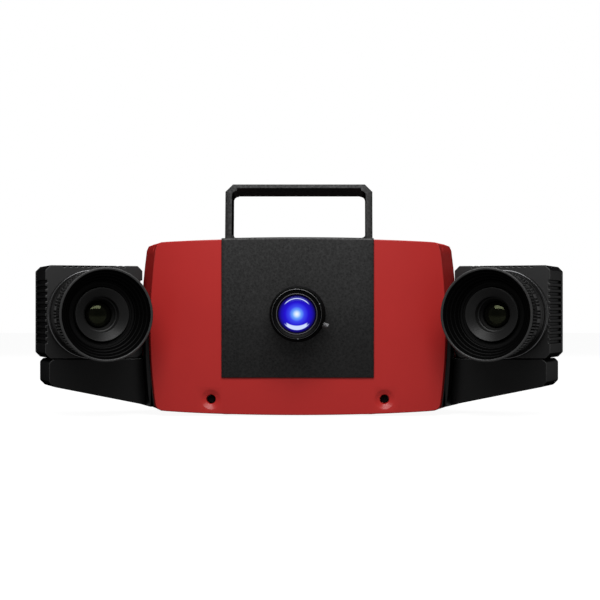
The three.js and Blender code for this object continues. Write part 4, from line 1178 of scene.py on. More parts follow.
    def hole(self, loop: Array, lid: Array, side: Side) -> Surface:
        """Return the rings of a coned screw hole and of the boss behind it.

        They run from the block's rim on the face down the cone and the bore, round the end of
        the boss and back along its outside to the block's rim on the lid.

        Args:
            loop: Rim of the block on the face, in order.
            lid: Rim of the block on the lid, in the same order.
            side: Left or right hole.

        Returns:
            The hole's surface.
        """
        middle = side.value * self.screw_x
        angle = np.arctan2(loop[:, 2] - self.screw_z, loop[:, 0] - middle)
        ease = 0.0004
        stages = [
            (self.dimple_radius + ease, 0.0),
            (self.dimple_radius, ease * 0.4),
            (self.bore_radius + ease, self.dimple_depth - ease),
            (self.bore_radius, self.dimple_depth + ease),
            (self.bore_radius, self.bore_depth),
            (self.boss_radius, self.bore_depth),
            (self.boss_radius, self.wall + 0.001),
        ]
        rings = [loop]
        for radius, sink in stages:
            x = middle + radius * np.cos(angle)
            z = self.screw_z + radius * np.sin(angle)
            rings.append(self.on_front(np.stack([x, z], axis=1), sink))
        return lattice(np.stack([*rings, lid]), around=True)

    def shell(self) -> Surface:
        """Return the shell behind the cover: outside rings, a rear lip and inside rings."""
        s = np.linspace(0, 1, 57)
        t = np.linspace(0, 1, 37)
        count = len(self.ring(self.boundary(self.half_width(0), 0, s, t)))
        start = self.cover_depth + self.seam
        bend, ease = 0.002, 0.0001
        stages = [(start, -ease), (start + ease, 0)]
        stages += [(self.flare_depth + d, 0) for d in (-bend, 0, bend)]
        stages += [(self.taper_depth + d, 0) for d in (-bend, 0, bend)]
        stages += [(self.depth - self.rear_chamfer, 0), (self.depth - 0.001, -0.0012),
                   (self.depth, -self.rear_chamfer), (self.depth, -self.wall),
                   (self.flare_depth, -self.wall), (start, -self.wall)]
        rings = [self.at_depth(np.full(count, y), grow, s, t) for y, grow in stages]
        return lattice(np.stack(rings), around=True, along=True).welded().outward()

    def panel(self) -> Surface:
        """Return the black panel: a bent strip carried across the body.

        Each section is the outer path up the front, round the bend and back over the top, and
        the same path inwards by the thickness. Its top follows the body's bow over X.
        """
        edge = self.panel_edge
        half = self.panel_half_width
        x = np.concatenate([[-half, edge * 0.3 - half], np.linspace(edge - half, half - edge, 41),
                            [half - edge * 0.3, half]])
        tuck = np.concatenate([[edge, edge * 0.3], np.zeros(41), [edge * 0.3, edge]])
        reach = self.side_half_width - self.flare_width - self.side_bow - self.corner
        top = self.bottom + self.height + self.panel_rise - self.top_bow * (x / reach) ** 2
        r = self.panel_bend
        turn = np.linspace(0, np.pi / 2, 7)
        low = PANEL_LOW.z
        sections = []
        for at, up, tight in zip(x, top, tuck):
            paths = []
            for sink in (0, self.panel_thickness):
                bend = np.stack([r - (r - sink) * np.cos(turn),
                                 up - r + (r - sink) * np.sin(turn)], axis=1)
                paths.append(np.vstack([[sink, low], [sink, low + 0.07], bend,
                                        [self.panel_depth, up - sink]]))
            loop = inset(eased(np.vstack([paths[0], paths[1][::-1]]), 0.00035, 2), tight)
            sections.append(np.insert(loop, 0, at, axis=1))
        return lattice(np.stack(sections), around=True, caps=True).outward()

    def build(self) -> None:
        """Make the cover, the shell and the panel."""
        place = body_place()
        red, black = Finishes.red_paint.material(), Finishes.powder_coat.material()
        piece("red_cover", self.cover().moved(place), red, "scanner_body", ("front_cover",))
        piece("red_shell", self.shell().moved(place), red, "scanner_body", ("body_shell",))
        piece("black_panel", self.panel().moved(place), black, "scanner_body", ("front_panel",))


@dataclass
class Handle:
    """The carrying handle: a flat frame whose grip is thinned by chamfers."""

    half_width: float = 0.07625
    leg: float = 0.0071
    grip: float = 0.0071
    grip_chamfer: float = 0.0033
    corner: float = 0.0078
    inner_radius: float = 0.0046
    front: float = 0.050
    depth: float = 0.032
    top: float = 0.2368
    foot_low: float = 0.1783
    foot_high: float = 0.181
    lean: float = np.radians(7)
    edge: float = 0.0004
    screw_x: float = 0.050
    screw_radius: float = 0.005
    screw_height: float = 0.0024
    screw_socket: float = 0.003

    def frame_surface(self) -> Surface:
        """Return the frame: a section carried round between two outlines.

        The outer and the inner outline have a point each for every step round the frame. The
        section runs from the inner front edge over the outer edges to the inner back edge,
        each eased, and along the grip the inner edges are cut back by the grip's chamfer.
        """
        low = self.foot_low
        high = low + (self.top - low) / np.cos(self.lean)
        w, c, r = self.half_width, self.corner, self.inner_radius
        inner_w = w - self.leg
        inner_high = high - self.grip
        turn = np.linspace(0, np.pi / 2, 9)
        sunk, run, middle = 0.004, 0.02, 0.03
        right = [[inner_w, low - sunk], [inner_w, low + run], [inner_w, inner_high - r - 0.002]]
        bend = np.stack([inner_w - r + r * np.cos(turn), inner_high - r + r * np.sin(turn)], 1)
        inner = np.vstack([right, bend, [[inner_w - r - 0.0012, inner_high], [middle, inner_high]]])
        outer_side = [[w, low - sunk], [w, low + run], [w, high - c - 0.003]]
        slope = np.stack([np.linspace(w, w - c, 9), np.linspace(high - c, high, 9)], 1)
        outer = np.vstack([outer_side, slope, [[w - c - 0.0035, high], [middle, high]]])
        mirror = np.array([-1, 1])
        inner = np.vstack([inner, inner[::-1] * mirror])
        outer = np.vstack([outer, outer[::-1] * mirror])
        count = len(inner)
        cut = np.full(count, self.edge)
        grip = slice(12, count - 12)
        cut[grip] = self.grip_chamfer
        e = self.edge
        d = self.depth
        across = outer - inner
        across /= np.linalg.norm(across, axis=1)[:, None]
        out = self.edge * across
        cut_back = inner + across * cut[:, None]
        section = [
            (cut_back, 0), (outer - out, 0), (outer - out * 0.3, e * 0.3), (outer, e),
            (outer, d - e), (outer - out * 0.3, d - e * 0.3), (outer - out, d), (cut_back, d),
            (inner, d - cut), (inner, cut),
        ]
        grid = np.stack([np.insert(points, 1, y, axis=1) for points, y in section], axis=1)
        surface = lattice(grid, around=True, caps=True)
        lean = Matrix.Translation((0, self.front, low)) @ Matrix.Rotation(-self.lean, 4, "X")
        return surface.moved(lean @ Matrix.Translation((0, 0, -low))).outward()

    def foot(self) -> Surface:
        """Return the level plate between the legs, with a quarter-round fillet up each leg."""
        inner, r = self.half_width - self.leg, self.inner_radius
        w = inner + 0.001
        turn = np.linspace(0, -np.pi / 2, 9)
        fillet = np.stack([inner - r + r * np.cos(turn), self.foot_high + r + r * np.sin(turn)], 1)
        right = np.vstack([[[w, self.foot_low], [w, self.foot_high + r]], fillet])
        outline = np.vstack([right, right[::-1] * np.array([-1, 1])])
        return slab(outline, self.front, self.front + self.depth, 0.0003)

    def screw(self, side: Side) -> Surface:
        """Return one flat-headed screw with a hexagon socket.

        Args:
            side: Left or right screw.

        Returns:
            The closed screw.
        """
        head = screw_head(self.screw_radius, self.screw_height, self.screw_socket)
        place = Matrix.Translation((side.value * self.screw_x, self.front + self.depth / 2,
                                    self.foot_high + 0.0001))
        return head.moved(place @ Matrix.Rotation(-np.pi / 2, 4, "X"))

    def build(self) -> None:
        """Make the frame with its foot, and the two screws."""
        place = body_place()
        made = self.frame_surface().joined(self.foot()).moved(place)
        piece("carrying_handle", made, Finishes.handle_coat.material(), "scanner_body",
              ("handle",))
        for side in Side:
            piece(f"handle_screw_head_{side.label}", self.screw(side).moved(place),
                  Finishes.dark_steel.material(), "scanner_body", (f"handle_screw_{side.label}",))


def screw_head(radius: float, height: float, socket: float) -> Surface:
    """Return a cap screw's head, facing forwards, with a hexagon socket.

    The socket's radius at an angle a is the half width over the cosine of the angle from the
    nearest flat's middle.

    Args:
        radius: Radius of the head.
        height: Height of the head.
        socket: Width of the socket across its flats.

    Returns:
        The closed head, whose face lies in the plane of Y = 0.
    """
    sides = 48
    angle = all_round(sides)
    flat = (angle + np.pi / 6) % (np.pi / 3) - np.pi / 6
    hexagon = socket / 2 / np.cos(flat)
    ease, floor = radius * 0.08, -height * 0.6
    stages = [
        (np.zeros(sides), -height),
        (np.full(sides, radius), -height),
        (np.full(sides, radius), -ease),
        (np.full(sides, radius - ease), 0),
        (hexagon, 0),
        (hexagon, floor),
        (np.zeros(sides), floor),
    ]
    rings = [np.stack([r * np.cos(angle), np.full(sides, -y), r * np.sin(angle)], axis=1)
             for r, y in stages]
    return lattice(np.stack(rings), around=True).welded().outward()


# The projector


@dataclass
class Projector:
    """The projector lens in the middle of the panel."""

    height: float = 0.1023
    flange_radius: float = 0.028
    boss_radius: float = 0.0239
    ring_radius: float = 0.0264
    ring_back: float = 0.007
    ring_front: float = 0.0235
    tube_radius: float = 0.020
    collar_radius: float = 0.0244
    collar_back: float = 0.0265
    collar_front: float = 0.038
    collar_lip: float = 0.0202
    glass_radius: float = 0.0182
    glass_seat: float = 0.0303
    glass_edge: float = 0.003
    glass_rise: float = 0.0032
    ribs: int = 60
    lock_angle: float = np.radians(-22)
    lock_along: float = 0.016
    lock_from: float = 0.0272
    lock_to: float = 0.033
    lock_radius: float = 0.0029
    pin_radius: float = 0.0006
    pin_angles: tuple[float, ...] = (93.0, 24.0, -87.0)

    def build(self) -> None:
        """Make the flange, the focus ring, the tube with its trim, the glass and the lock screw."""
        place = body_place(z=self.height)
        black = Finishes.ring_black.material("projector", place)
        rows = [
            ("lens_flange", self.flange(), "scanner_body", "projector_flange"),
            ("projector_ring", self.focus_ring(), "projector_focus", "projector_focus_ring"),
            ("lens_tube", self.tube(), "projector_optics", "projector_tube"),
        ]
        for name, surface, body, node in rows:
            piece(name, surface.moved(place), black, body, (node,))
        self.trim(place)
        piece("projector_front_glass", self.glass().moved(place),
              Finishes.projector_glass.material("projector", place), "projector_optics",
              ("projector_glass",))
        piece("focus_lock_screw", self.lock().moved(place), Finishes.dark_steel.material(),
              "projector_lock", ("projector_lock_screw",))

    def flange(self) -> Surface:
        """Return the flange on the panel and the boss that the focus ring turns on."""
        return turned([
            [0.0204, -0.0077], [0.023, -0.0077], [0.023, 0.0003], [self.flange_radius, 0.0003],
            [self.flange_radius, 0.006], [self.boss_radius, 0.006], [self.boss_radius, 0.024],
            [0.0204, 0.024]], ease=0.0004)

    def tube(self) -> Surface:
        """Return the tube and its collar, whose inside steps back to the glass."""
        front, seat = self.collar_front, self.glass_seat - 0.0003
        return turned([
            [0.015, -0.026], [self.tube_radius, -0.026], [self.tube_radius, self.collar_back],
            [self.collar_radius, self.collar_back], [self.collar_radius, front],
            [self.collar_radius - 0.0006, front], [self.collar_radius - 0.0012, front - 0.0014],
            [0.0206, front - 0.0018], [0.0206, front - 0.004],
            [self.glass_radius + 0.0003, front - 0.004], [self.glass_radius + 0.0003, seat],
            [0.015, seat]], ease=0.0002)

    def trim(self, place: Matrix) -> None:
        """Make the glass retainer, the collar's edge and the pins in the collar's face.

        Args:
            place: Placement of the lens.
        """
        bright = Finishes.bright_ring.material("projector", place)
        dull = Finishes.dull_ring.material("projector", place)
        grey = Finishes.collar_grey.material("projector", place)
        front, lip = self.collar_front, self.collar_lip
        rings = [
            ("glass_retainer", dull, [[lip - 0.0009, front - 0.0026], [lip, front - 0.0036],
                                      [lip, front - 0.0014], [lip - 0.0004, front - 0.0012],
                                      [lip - 0.0009, front - 0.0018]]),
            ("collar_edge", grey, [[self.collar_radius - 0.0004, front],
                                   [self.collar_radius + 0.00005, front - 0.0005],
                                   [self.collar_radius + 0.00005, front + 0.00005],
                                   [self.collar_radius - 0.0004, front + 0.0001]]),
        ]
        for name, finish, profile in rings:
            made = turned(profile, ease=0.0001)
            piece(name, made.moved(place), finish, "projector_optics", ())
        r, reach = self.pin_radius, self.collar_radius - 0.0001
        pin = turned([[0, -0.001], [r, -0.001], [r, 0.0002], [0, 0.0003]], 12)
        for number, angle in enumerate(np.radians(self.pin_angles), 1):
            spot = Matrix.Translation((reach * np.cos(angle), -front, reach * np.sin(angle)))
            piece(f"collar_pin_{number}", pin.moved(place @ spot), bright, "projector_optics", ())

    def focus_ring(self) -> Surface:
        """Return the focus ring, whose outside has fine ribs between two plain bands.

        A rib's height is a cosine of the angle, cut flat at its top and bottom.
        """
        profile = eased(np.array([
            [self.boss_radius + 0.0004, self.ring_back], [self.ring_radius, self.ring_back],
            [self.ring_radius, self.ring_front], [self.boss_radius + 0.0004, self.ring_front],
        ]), 0.0005, 3)
        sides = self.ribs * 6
        angle = all_round(sides)
        wave = np.clip(np.cos(self.ribs * angle) * 1.6, -1, 1) * 0.5 + 0.5
        start, end = self.ring_back + 0.003, self.ring_front - 0.003
        along = np.array([start, start + 0.0004, end - 0.0004, end])
        outer = profile[:, 0] > self.ring_radius - 1e-5
        split = np.nonzero(outer)[0]
        first = split[np.argmin(profile[split, 1])]
        band = np.stack([np.full(4, self.ring_radius), along], axis=1)
        profile = np.insert(profile, first + 1, band, axis=0)
        weight = np.zeros(len(profile))
        weight[first + 2:first + 4] = 1
        return turned(profile, sides, 0.0004 * weight[:, None] * wave[None])

    def glass(self) -> Surface:
        """Return the domed front glass."""
        seat = self.glass_seat
        return domed_glass(self.glass_radius, seat, seat + self.glass_edge, self.glass_rise)

    def lock(self) -> Surface:
        """Return the lock screw: a stem and a knurled head on a radius of the ring."""
        stem = 0.0014
        profile = eased(np.array([
            [0, 0.0247], [stem, 0.0247], [stem, self.lock_from],
            [self.lock_radius, self.lock_from], [self.lock_radius, self.lock_to],
            [0, self.lock_to]]), 0.0004, 3, closed=False)
        sides = 120
        angle = all_round(sides)
        weight = (profile[:, 0] > self.lock_radius - 1e-5).astype(float)
        ribs = -0.00018 * weight[:, None] * (0.5 + 0.5 * np.cos(20 * angle))[None]
        radial = Matrix.Rotation(np.pi / 2, 4, "Z")
        tilt = Matrix.Rotation(-self.lock_angle, 4, "Y")
        shift = Matrix.Translation((0, -self.lock_along, 0))
        return turned(profile, sides, ribs).moved(shift @ tilt @ radial)


# The cameras


@dataclass
class Camera:
    """One camera unit: its housing, lens and arm, turned inwards about the swivel."""

    side: Side
    toe_in: float = np.radians(20)
    lens_height: float = 0.1018
    lens_offset: float = 0.0035
    half_width: float = 0.0495
    low: float = 0.0576
    height: float = 0.0939
    front: float = 0.033
    depth: float = 0.056
    back_gap: float = 0.0003
    back_thickness: float = 0.0097
    gasket_thickness: float = 0.0014
    lip_half_width: float = 0.0345
    lip_height: float = 0.0017
    chamfer: float = 0.005
    grooves: int = 11
    groove_pitch: float = 0.0061
    groove_width: float = 0.003
    groove_depth: float = 0.002
    mount_radius: float = 0.04525
    mount_front: float = 0.008
    iris_radius: float = 0.0442
    barrel_radius: float = 0.040
    focus_radius: float = 0.0434
    grip_grooves: int = 88
    groove_cut: float = 0.0011
    grip_back: float = 0.0500
    grip_front: float = 0.0755
    cell_radius: float = 0.0265
    glass_radius: float = 0.0132
    glass_seat: float = 0.031
    glass_edge: float = 0.036
    glass_rise: float = 0.0042
    hood_front: float = 0.079
    hood_root: float = 0.0436
    hood_rim: float = 0.04575
    hood_wall: float = 0.0023
    baffles: int = 4
    baffle_depth: float = 0.0049
    baffle_step: float = 0.0027
    baffle_lip: float = 0.0006
    arm_low: float = 0.0083
    arm_reach: float = 0.119
    arm_foot: float = 0.1003
    arm_depth: float = 0.060
    arm_edge: float = 0.0035
    flange_reach: float = 0.1662
    flange_width: float = 0.012
    flange_back: float = 0.108
    cheek_thickness: float = 0.004
    cheek_front: float = 0.019
    cheek_back: float = 0.036
    cheek_top: float = 0.084
    stop_size: float = 0.0105
    stop_front: float = 0.090
    stop_back: float = 0.105

    def __post_init__(self) -> None:
        """Work out the placements from the swivel joint of the frame."""
        pivot = Vector(JOINTS[f"{self.side.label}_camera_swivel"]["pos_m"])
        sign = self.side.value
        turn = Matrix.Rotation(-sign * self.toe_in, 4, "Z")
        self.unit = Matrix.Translation((pivot.x, pivot.y, 0)) @ turn
        self.lens = self.unit @ Matrix.Translation(
            (sign * self.lens_offset, -self.front, self.lens_height))
        self.label = self.side.label

    def outline(self, grooved: bool) -> Array:
        """Return the housing's outline of X and Z.

        The grooves are cut square into both sides and the top at an even pitch about the
        middle of each flat.

        Args:
            grooved: Whether the outline has the grooves.

        Returns:
            The closed outline.
        """
        w, c = self.half_width, self.chamfer
        low, high = self.low, self.low + self.height
        points = [np.array([[c - w, low], [w - c, low]])]
        runs = [
            ((w, low + c), (0, 1), (-1, 0), self.height - 2 * c),
            ((w - c, high), (-1, 0), (0, -1), 2 * (w - c)),
            ((-w, high - c), (0, -1), (1, 0), self.height - 2 * c),
        ]
        for start, along, inwards, length in runs:
            middles = length / 2 + (np.arange(self.grooves) - (self.grooves - 1) / 2) * self.groove_pitch
            half = self.groove_width / 2
            at = np.stack([middles - half, middles - half, middles + half, middles + half], 1)
            sink = np.tile([0, self.groove_depth, self.groove_depth, 0], (self.grooves, 1))
            if not grooved:
                at, sink = at[:0], sink[:0]
            at = np.concatenate([[0], at.ravel(), [length]])
            sink = np.concatenate([[0], sink.ravel(), [0]])
            points.append(np.array(start) + at[:, None] * np.array(along)
                          + sink[:, None] * np.array(inwards))
        return eased(np.vstack(points), 0.0008, 3)

    def housing(self) -> Surface:
        """Return the grooved housing, with its rims eased."""
        return slab(self.outline(True), -self.front, self.depth - self.front, 0.0004)

    def back(self) -> Surface:
        """Return the plain back plate."""
        start = self.depth - self.front + self.back_gap
        return slab(self.outline(False), start + self.gasket_thickness,
                    start + self.back_thickness, 0.0008, 3)

    def gasket(self) -> Surface:
        """Return the near-black plate behind the housing, with a lip behind the top's grooves: a dark
        sheet that paints shade into the grooves.
        """
        start = self.depth - self.front + self.back_gap / 3
        end = start + self.gasket_thickness
        half, high = self.lip_half_width, self.low + self.height
        lip = np.array([[-half, high - 0.001], [half, high - 0.001],
                        [half - 0.001, high + self.lip_height],
                        [0.001 - half, high + self.lip_height]])
        lip = slab(eased(lip, 0.0004, 2), start, end, 0.0003)
        return slab(self.outline(False), start, end, 0.0003).joined(lip)

    def mount(self) -> Surface:
        """Return the lens mount: a broad ring with a bright chamfer at its front."""
        return turned([
            [0.019, -0.006], [0.024, -0.006], [0.024, 0.0003], [self.mount_radius, 0.0003],
            [self.mount_radius, 0.0067], [self.mount_radius - 0.0013, self.mount_front],
            [0.019, self.mount_front]], 128, ease=0.0003)

    def mount_edge(self) -> Surface:
        """Return the bright chamfer round the front of the lens mount."""
        r, front = self.mount_radius, self.mount_front
        return turned([
            [r - 0.0010, front - 0.0010], [r - 0.00055, front - 0.00065],
            [r - 0.00095, front - 0.00025], [r - 0.0014, front - 0.0004]], 160, ease=0.00006)

    def barrel(self) -> Surface:
        """Return the fixed barrel under the rings."""
        return turned([[0.027, 0.0083], [self.barrel_radius, 0.0083],
                       [self.barrel_radius, 0.048], [0.027, 0.048]], 128, ease=0.0003)

    def iris(self) -> Surface:
        """Return the iris ring: a band with a shallow groove round its middle."""
        r, inner = self.iris_radius, self.barrel_radius + 0.0004
        return turned([
            [inner, 0.0084], [r - 0.0005, 0.0084], [r, 0.0089], [r, 0.0106], [r - 0.0006, 0.011],
            [r - 0.0006, 0.0118], [r, 0.0122], [r, 0.0135], [r - 0.0009, 0.0144],
            [inner, 0.0144]], 128, ease=0.0002)

    def grooved(self, profile: Array, weight: Array, share: float = 1.0) -> Surface:
        """Turn a profile whose outside has narrow grooves along the axis.

        A groove's depth over the angle is a cosine raised past a floor, which leaves lands
        twice as wide as the grooves. Where the share is below one, only part of the turn in
        each group of four grooves has them: 0.85 cuts three of the four.

        Args:
            profile: Radius and distance forwards.
            weight: Share of the groove's depth at each point of the profile.
            share: Share of each group of four grooves that is cut.

        Returns:
            The closed surface.
        """
        sides = self.grip_grooves * 6
        angle = all_round(sides)
        wave = np.clip((np.cos(self.grip_grooves * angle) - 0.2) * 2.5, 0, 1)
        group = np.cos(self.grip_grooves / 4 * angle)
        wave = wave * (group > 1 - 2 * share) if share < 1 else wave
        return turned(profile, sides, -self.groove_cut * weight[:, None] * wave[None])

    def focus(self) -> Surface:
        """Return the focus ring: a plain band, then groups of grooves up to its front."""
        r, inner = self.focus_radius, self.barrel_radius + 0.0004
        start, grip, end = 0.0148, 0.031, 0.046
        profile = np.array([
            [inner, start], [r - 0.0006, start], [r, start + 0.0006], [r, 0.0225],
            [r - 0.0007, 0.0229], [r - 0.0007, 0.0239], [r, 0.0243], [r, grip],
            [r, grip + 0.0006], [r, end - 0.0010], [r - 0.0003, end - 0.0004],
            [r - 0.0010, end], [inner, end]])
        weight = np.array([0, 0, 0, 0, 0, 0, 0, 0, 1, 1, 0.6, 0, 0], float)
        return self.grooved(profile, weight, 0.85)

    def cell(self) -> Surface:
        """Return the sliding cell: a broad cone down to its waist, and steps inside."""
        return turned([
            [0.0135, 0.020], [self.cell_radius, 0.020], [self.cell_radius, 0.0577],
            [0.0263, 0.058], [0.0258, 0.058], [0.0182, 0.0526], [0.0178, 0.0524],
            [0.0177, 0.0500], [0.0174, 0.0498], [0.0173, 0.0474], [0.0170, 0.0472],
            [0.0169, 0.0448], [0.0158, 0.0446], [0.0153, 0.0405], [0.0137, 0.0385],
            [0.0137, 0.0305], [self.glass_radius, 0.0305]], 128, ease=0.00018)

    def glass(self) -> Surface:
        """Return the domed front glass."""
        return domed_glass(self.glass_radius, self.glass_seat, self.glass_edge, self.glass_rise)

    def hood(self) -> Surface:
        """Return the hood's outer shell: a root, a grooved grip and a smooth rim band."""
        root, rim, front = self.hood_root, self.hood_rim, self.hood_front
        inner = rim - self.hood_wall
        start, end = self.grip_back, self.grip_front
        profile = np.array([
            [0.0420, 0.0483], [root, 0.0483], [root + 0.0002, start - 0.0006],
            [root - 0.0003, start - 0.0003], [root + 0.0005, start], [root + 0.0006, start + 0.0006],
            [rim - 0.0008, end - 0.0006], [rim - 0.0006, end], [rim - 0.0002, end + 0.0005],
            [rim, front - 0.0010], [rim - 0.0004, front - 0.0004], [inner + 0.0005, front - 0.0004],
            [inner, front - 0.0010], [inner, front - 0.0020], [0.0424, 0.0660]])
        weight = np.array([0, 0, 0, 0, 0, 1, 1, 0, 0, 0, 0, 0, 0, 0, 0], float)
        return self.grooved(profile, weight)

    def rim(self) -> Surface:
        """Return the hood's rim: a narrow ring with rounded edges round the mouth."""
        rim, front = self.hood_rim, self.hood_front
        inner = rim - self.hood_wall
        return turned([
            [inner, front - 0.0012], [rim - 0.0005, front - 0.0012], [rim, front - 0.0010],
            [rim, front - 0.0007], [rim - 0.0007, front], [inner + 0.0006, front],
            [inner - 0.0001, front - 0.0006]], 192, ease=0.0002, steps=3)

    def lining(self) -> Surface:
        """Return the hood's lining: a cone cut in sharp baffles, and a floor round the cell."""
        radius = self.hood_rim - self.hood_wall - 0.0001
        depth = self.hood_front - 0.0012
        outer = [[0.0277, 0.0483], [0.0418, 0.0483], [0.0422, 0.0660], [radius, depth - 0.0014],
                 [radius, depth]]
        steps = []
        for _ in range(self.baffles):
            depth -= self.baffle_depth
            radius -= self.baffle_step
            steps += [[radius + self.baffle_lip, depth + 0.0002], [radius, depth]]
        floor = [[0.0322, 0.0560], [0.0322, 0.0548], [0.0300, 0.0548], [0.0300, 0.0532],
                 [0.0277, 0.0532]]
        return turned(outer + steps + floor, 128, ease=0.0001)

    def arm(self) -> Surface:
        """Return the arm: a tapered beam turned like the camera, its flange, cheek and stop."""
        sign = self.side.value
        top, low, edge = self.low - 0.001, self.arm_low, self.arm_edge
        outer = self.half_width - 0.004
        root = outer - self.arm_reach
        beam = np.array([
            [outer, top - edge], [outer - edge, top], [root, top], [root, low],
            [outer - self.arm_foot, low], [outer - 0.005, 0.0286], [outer, 0.0336]])
        beam[:, 0] *= sign
        front = 0.001 - self.front
        beam = slab(eased(beam, 0.0012, 3), front, front + self.arm_depth, 0.0006)
        beam = beam.moved(self.unit)
        body = Body()
        y = np.array([self.cheek_front, body.flare_depth, self.flange_back])
        out = np.full(3, self.flange_reach)
        out[0] = body.half_width(self.cheek_front) - 0.0007
        plan = np.vstack([np.stack([out, y], 1),
                          np.stack([out[::-1] - self.flange_width, y[::-1]], 1)])
        plan[:, 0] *= sign
        flange = slab(eased(plan, 0.0012, 3), low, top, 0.0006)
        upright = Matrix(((1, 0, 0, 0), (0, 0, 1, 0), (0, 1, 0, 0), (0, 0, 0, 1)))
        flange = flange.moved(body_place() @ upright)
        return beam.joined(flange.outward()).joined(self.cheek()).joined(self.stop())

    def cheek(self) -> Surface:
        """Return the cheek: a plate of even thickness that follows the body's bowed side.

        Column j runs up the side at one height, and the section is the body's outline at two
        depths, once on the side and once moved out by the thickness.
        """
        body, sign = Body(), self.side.value
        z = np.linspace(self.arm_low, self.cheek_top, 19)
        share = (z - body.bottom) / body.height
        edge, gap = 0.0005, 0.0003
        stages = [(self.cheek_front + edge, gap), (self.cheek_front, edge),
                  (self.cheek_front, self.cheek_thickness - edge),
                  (self.cheek_front + edge, self.cheek_thickness),
                  (self.cheek_back, self.cheek_thickness), (self.cheek_back, gap)]
        rings = []
        for y, grow in stages:
            line = body.boundary(body.half_width(y), grow, share, share)[3]
            rings.append(np.stack([sign * line[:, 0], np.full(len(z), y), z], axis=1))
        grid = np.stack(rings, axis=1)
        return lattice(grid, around=True, caps=True).moved(body_place()).outward()

    def stop(self) -> Surface:
        """Return the block behind the housing that stiffens the arm's root."""
        low = np.array([Body().side_half_width - 0.002, self.low - 0.003])
        outline = low + self.stop_size * np.array([[0, 0], [1, 0], [1, 0.7], [0.7, 1], [0, 1]])
        outline[:, 0] *= self.side.value
        made = slab(eased(outline, 0.0008, 3), self.stop_front, self.stop_back, 0.0005)
        return made.moved(body_place()).outward()

    def pad(self) -> Surface:
        """Return the swivel pad between the arm and the housing."""
        top, bottom = self.low - 0.0003, self.low - 0.0012
        profile = [[0, bottom], [0.028, bottom], [0.028, top], [0, top]]
        upright = Matrix.Rotation(-np.pi / 2, 4, "X")
        return turned(profile, ease=0.0002).moved(self.unit @ upright)

    def build(self) -> None:
        """Make every piece of the unit that shows."""
        label = self.label
        camera, slot = f"{label}_camera", "black_anodised"
        coat = Finishes.anodised.material()
        box = Finishes.housing_black.material()
        black = Finishes.lens_black.material(label, self.lens)
        grey = Finishes.lens_grey.material(label, self.lens)
        bright = Finishes.edge_ring.material(label, self.lens)
        rim = Finishes.rim_grey.material(label, self.lens)
        inner = Finishes.flocked.material()
        knurl = Finishes.knurl.material()
        unit, lens = self.unit, self.lens
        rows = [
            ("housing", self.housing(), unit, box, camera, "camera_housing"),
            ("back_plate", self.back(), unit, box, camera, "camera_back"),
            ("mount_ring", self.mount(), lens, grey, camera, "lens_mount"),
            ("barrel", self.barrel(), lens, black, camera, "lens_barrel"),
            ("iris", self.iris(), lens, black, f"{label}_iris", "iris_ring"),
            ("focus_grip", self.focus(), lens, knurl, f"{label}_focus", "focus_ring"),
            ("front_cell", self.cell(), lens, grey, f"{label}_optics", "lens_cell"),
            ("hood", self.hood(), lens, knurl, camera, "lens_hood"),
        ]
        for name, surface, place, finish, body, node in rows:
            piece(f"{label}_{name}", surface.moved(place), finish, body, (f"{label}_{node}",))
        trims = [("mount_edge", self.mount_edge(), bright), ("hood_rim", self.rim(), rim),
                 ("hood_lining", self.lining(), inner)]
        for name, surface, finish in trims:
            piece(f"{label}_{name}", surface.moved(lens), finish, camera, ())
        piece(f"{label}_front_glass", self.glass().moved(lens),
              Finishes.camera_glass.material(label, lens), f"{label}_optics",
              (f"{label}_lens_glass",))
        piece(f"{label}_side_arm", self.arm(), coat, "scanner_body", (f"{label}_arm",))
        piece(f"{label}_swivel_pad", self.pad(), coat, "scanner_body", ())
        # A near-black plate and lip behind the housing: painted shade in the grooves.
        piece(f"{label}_gasket", self.gasket().moved(unit), inner, camera, ())


# The rear and the inside


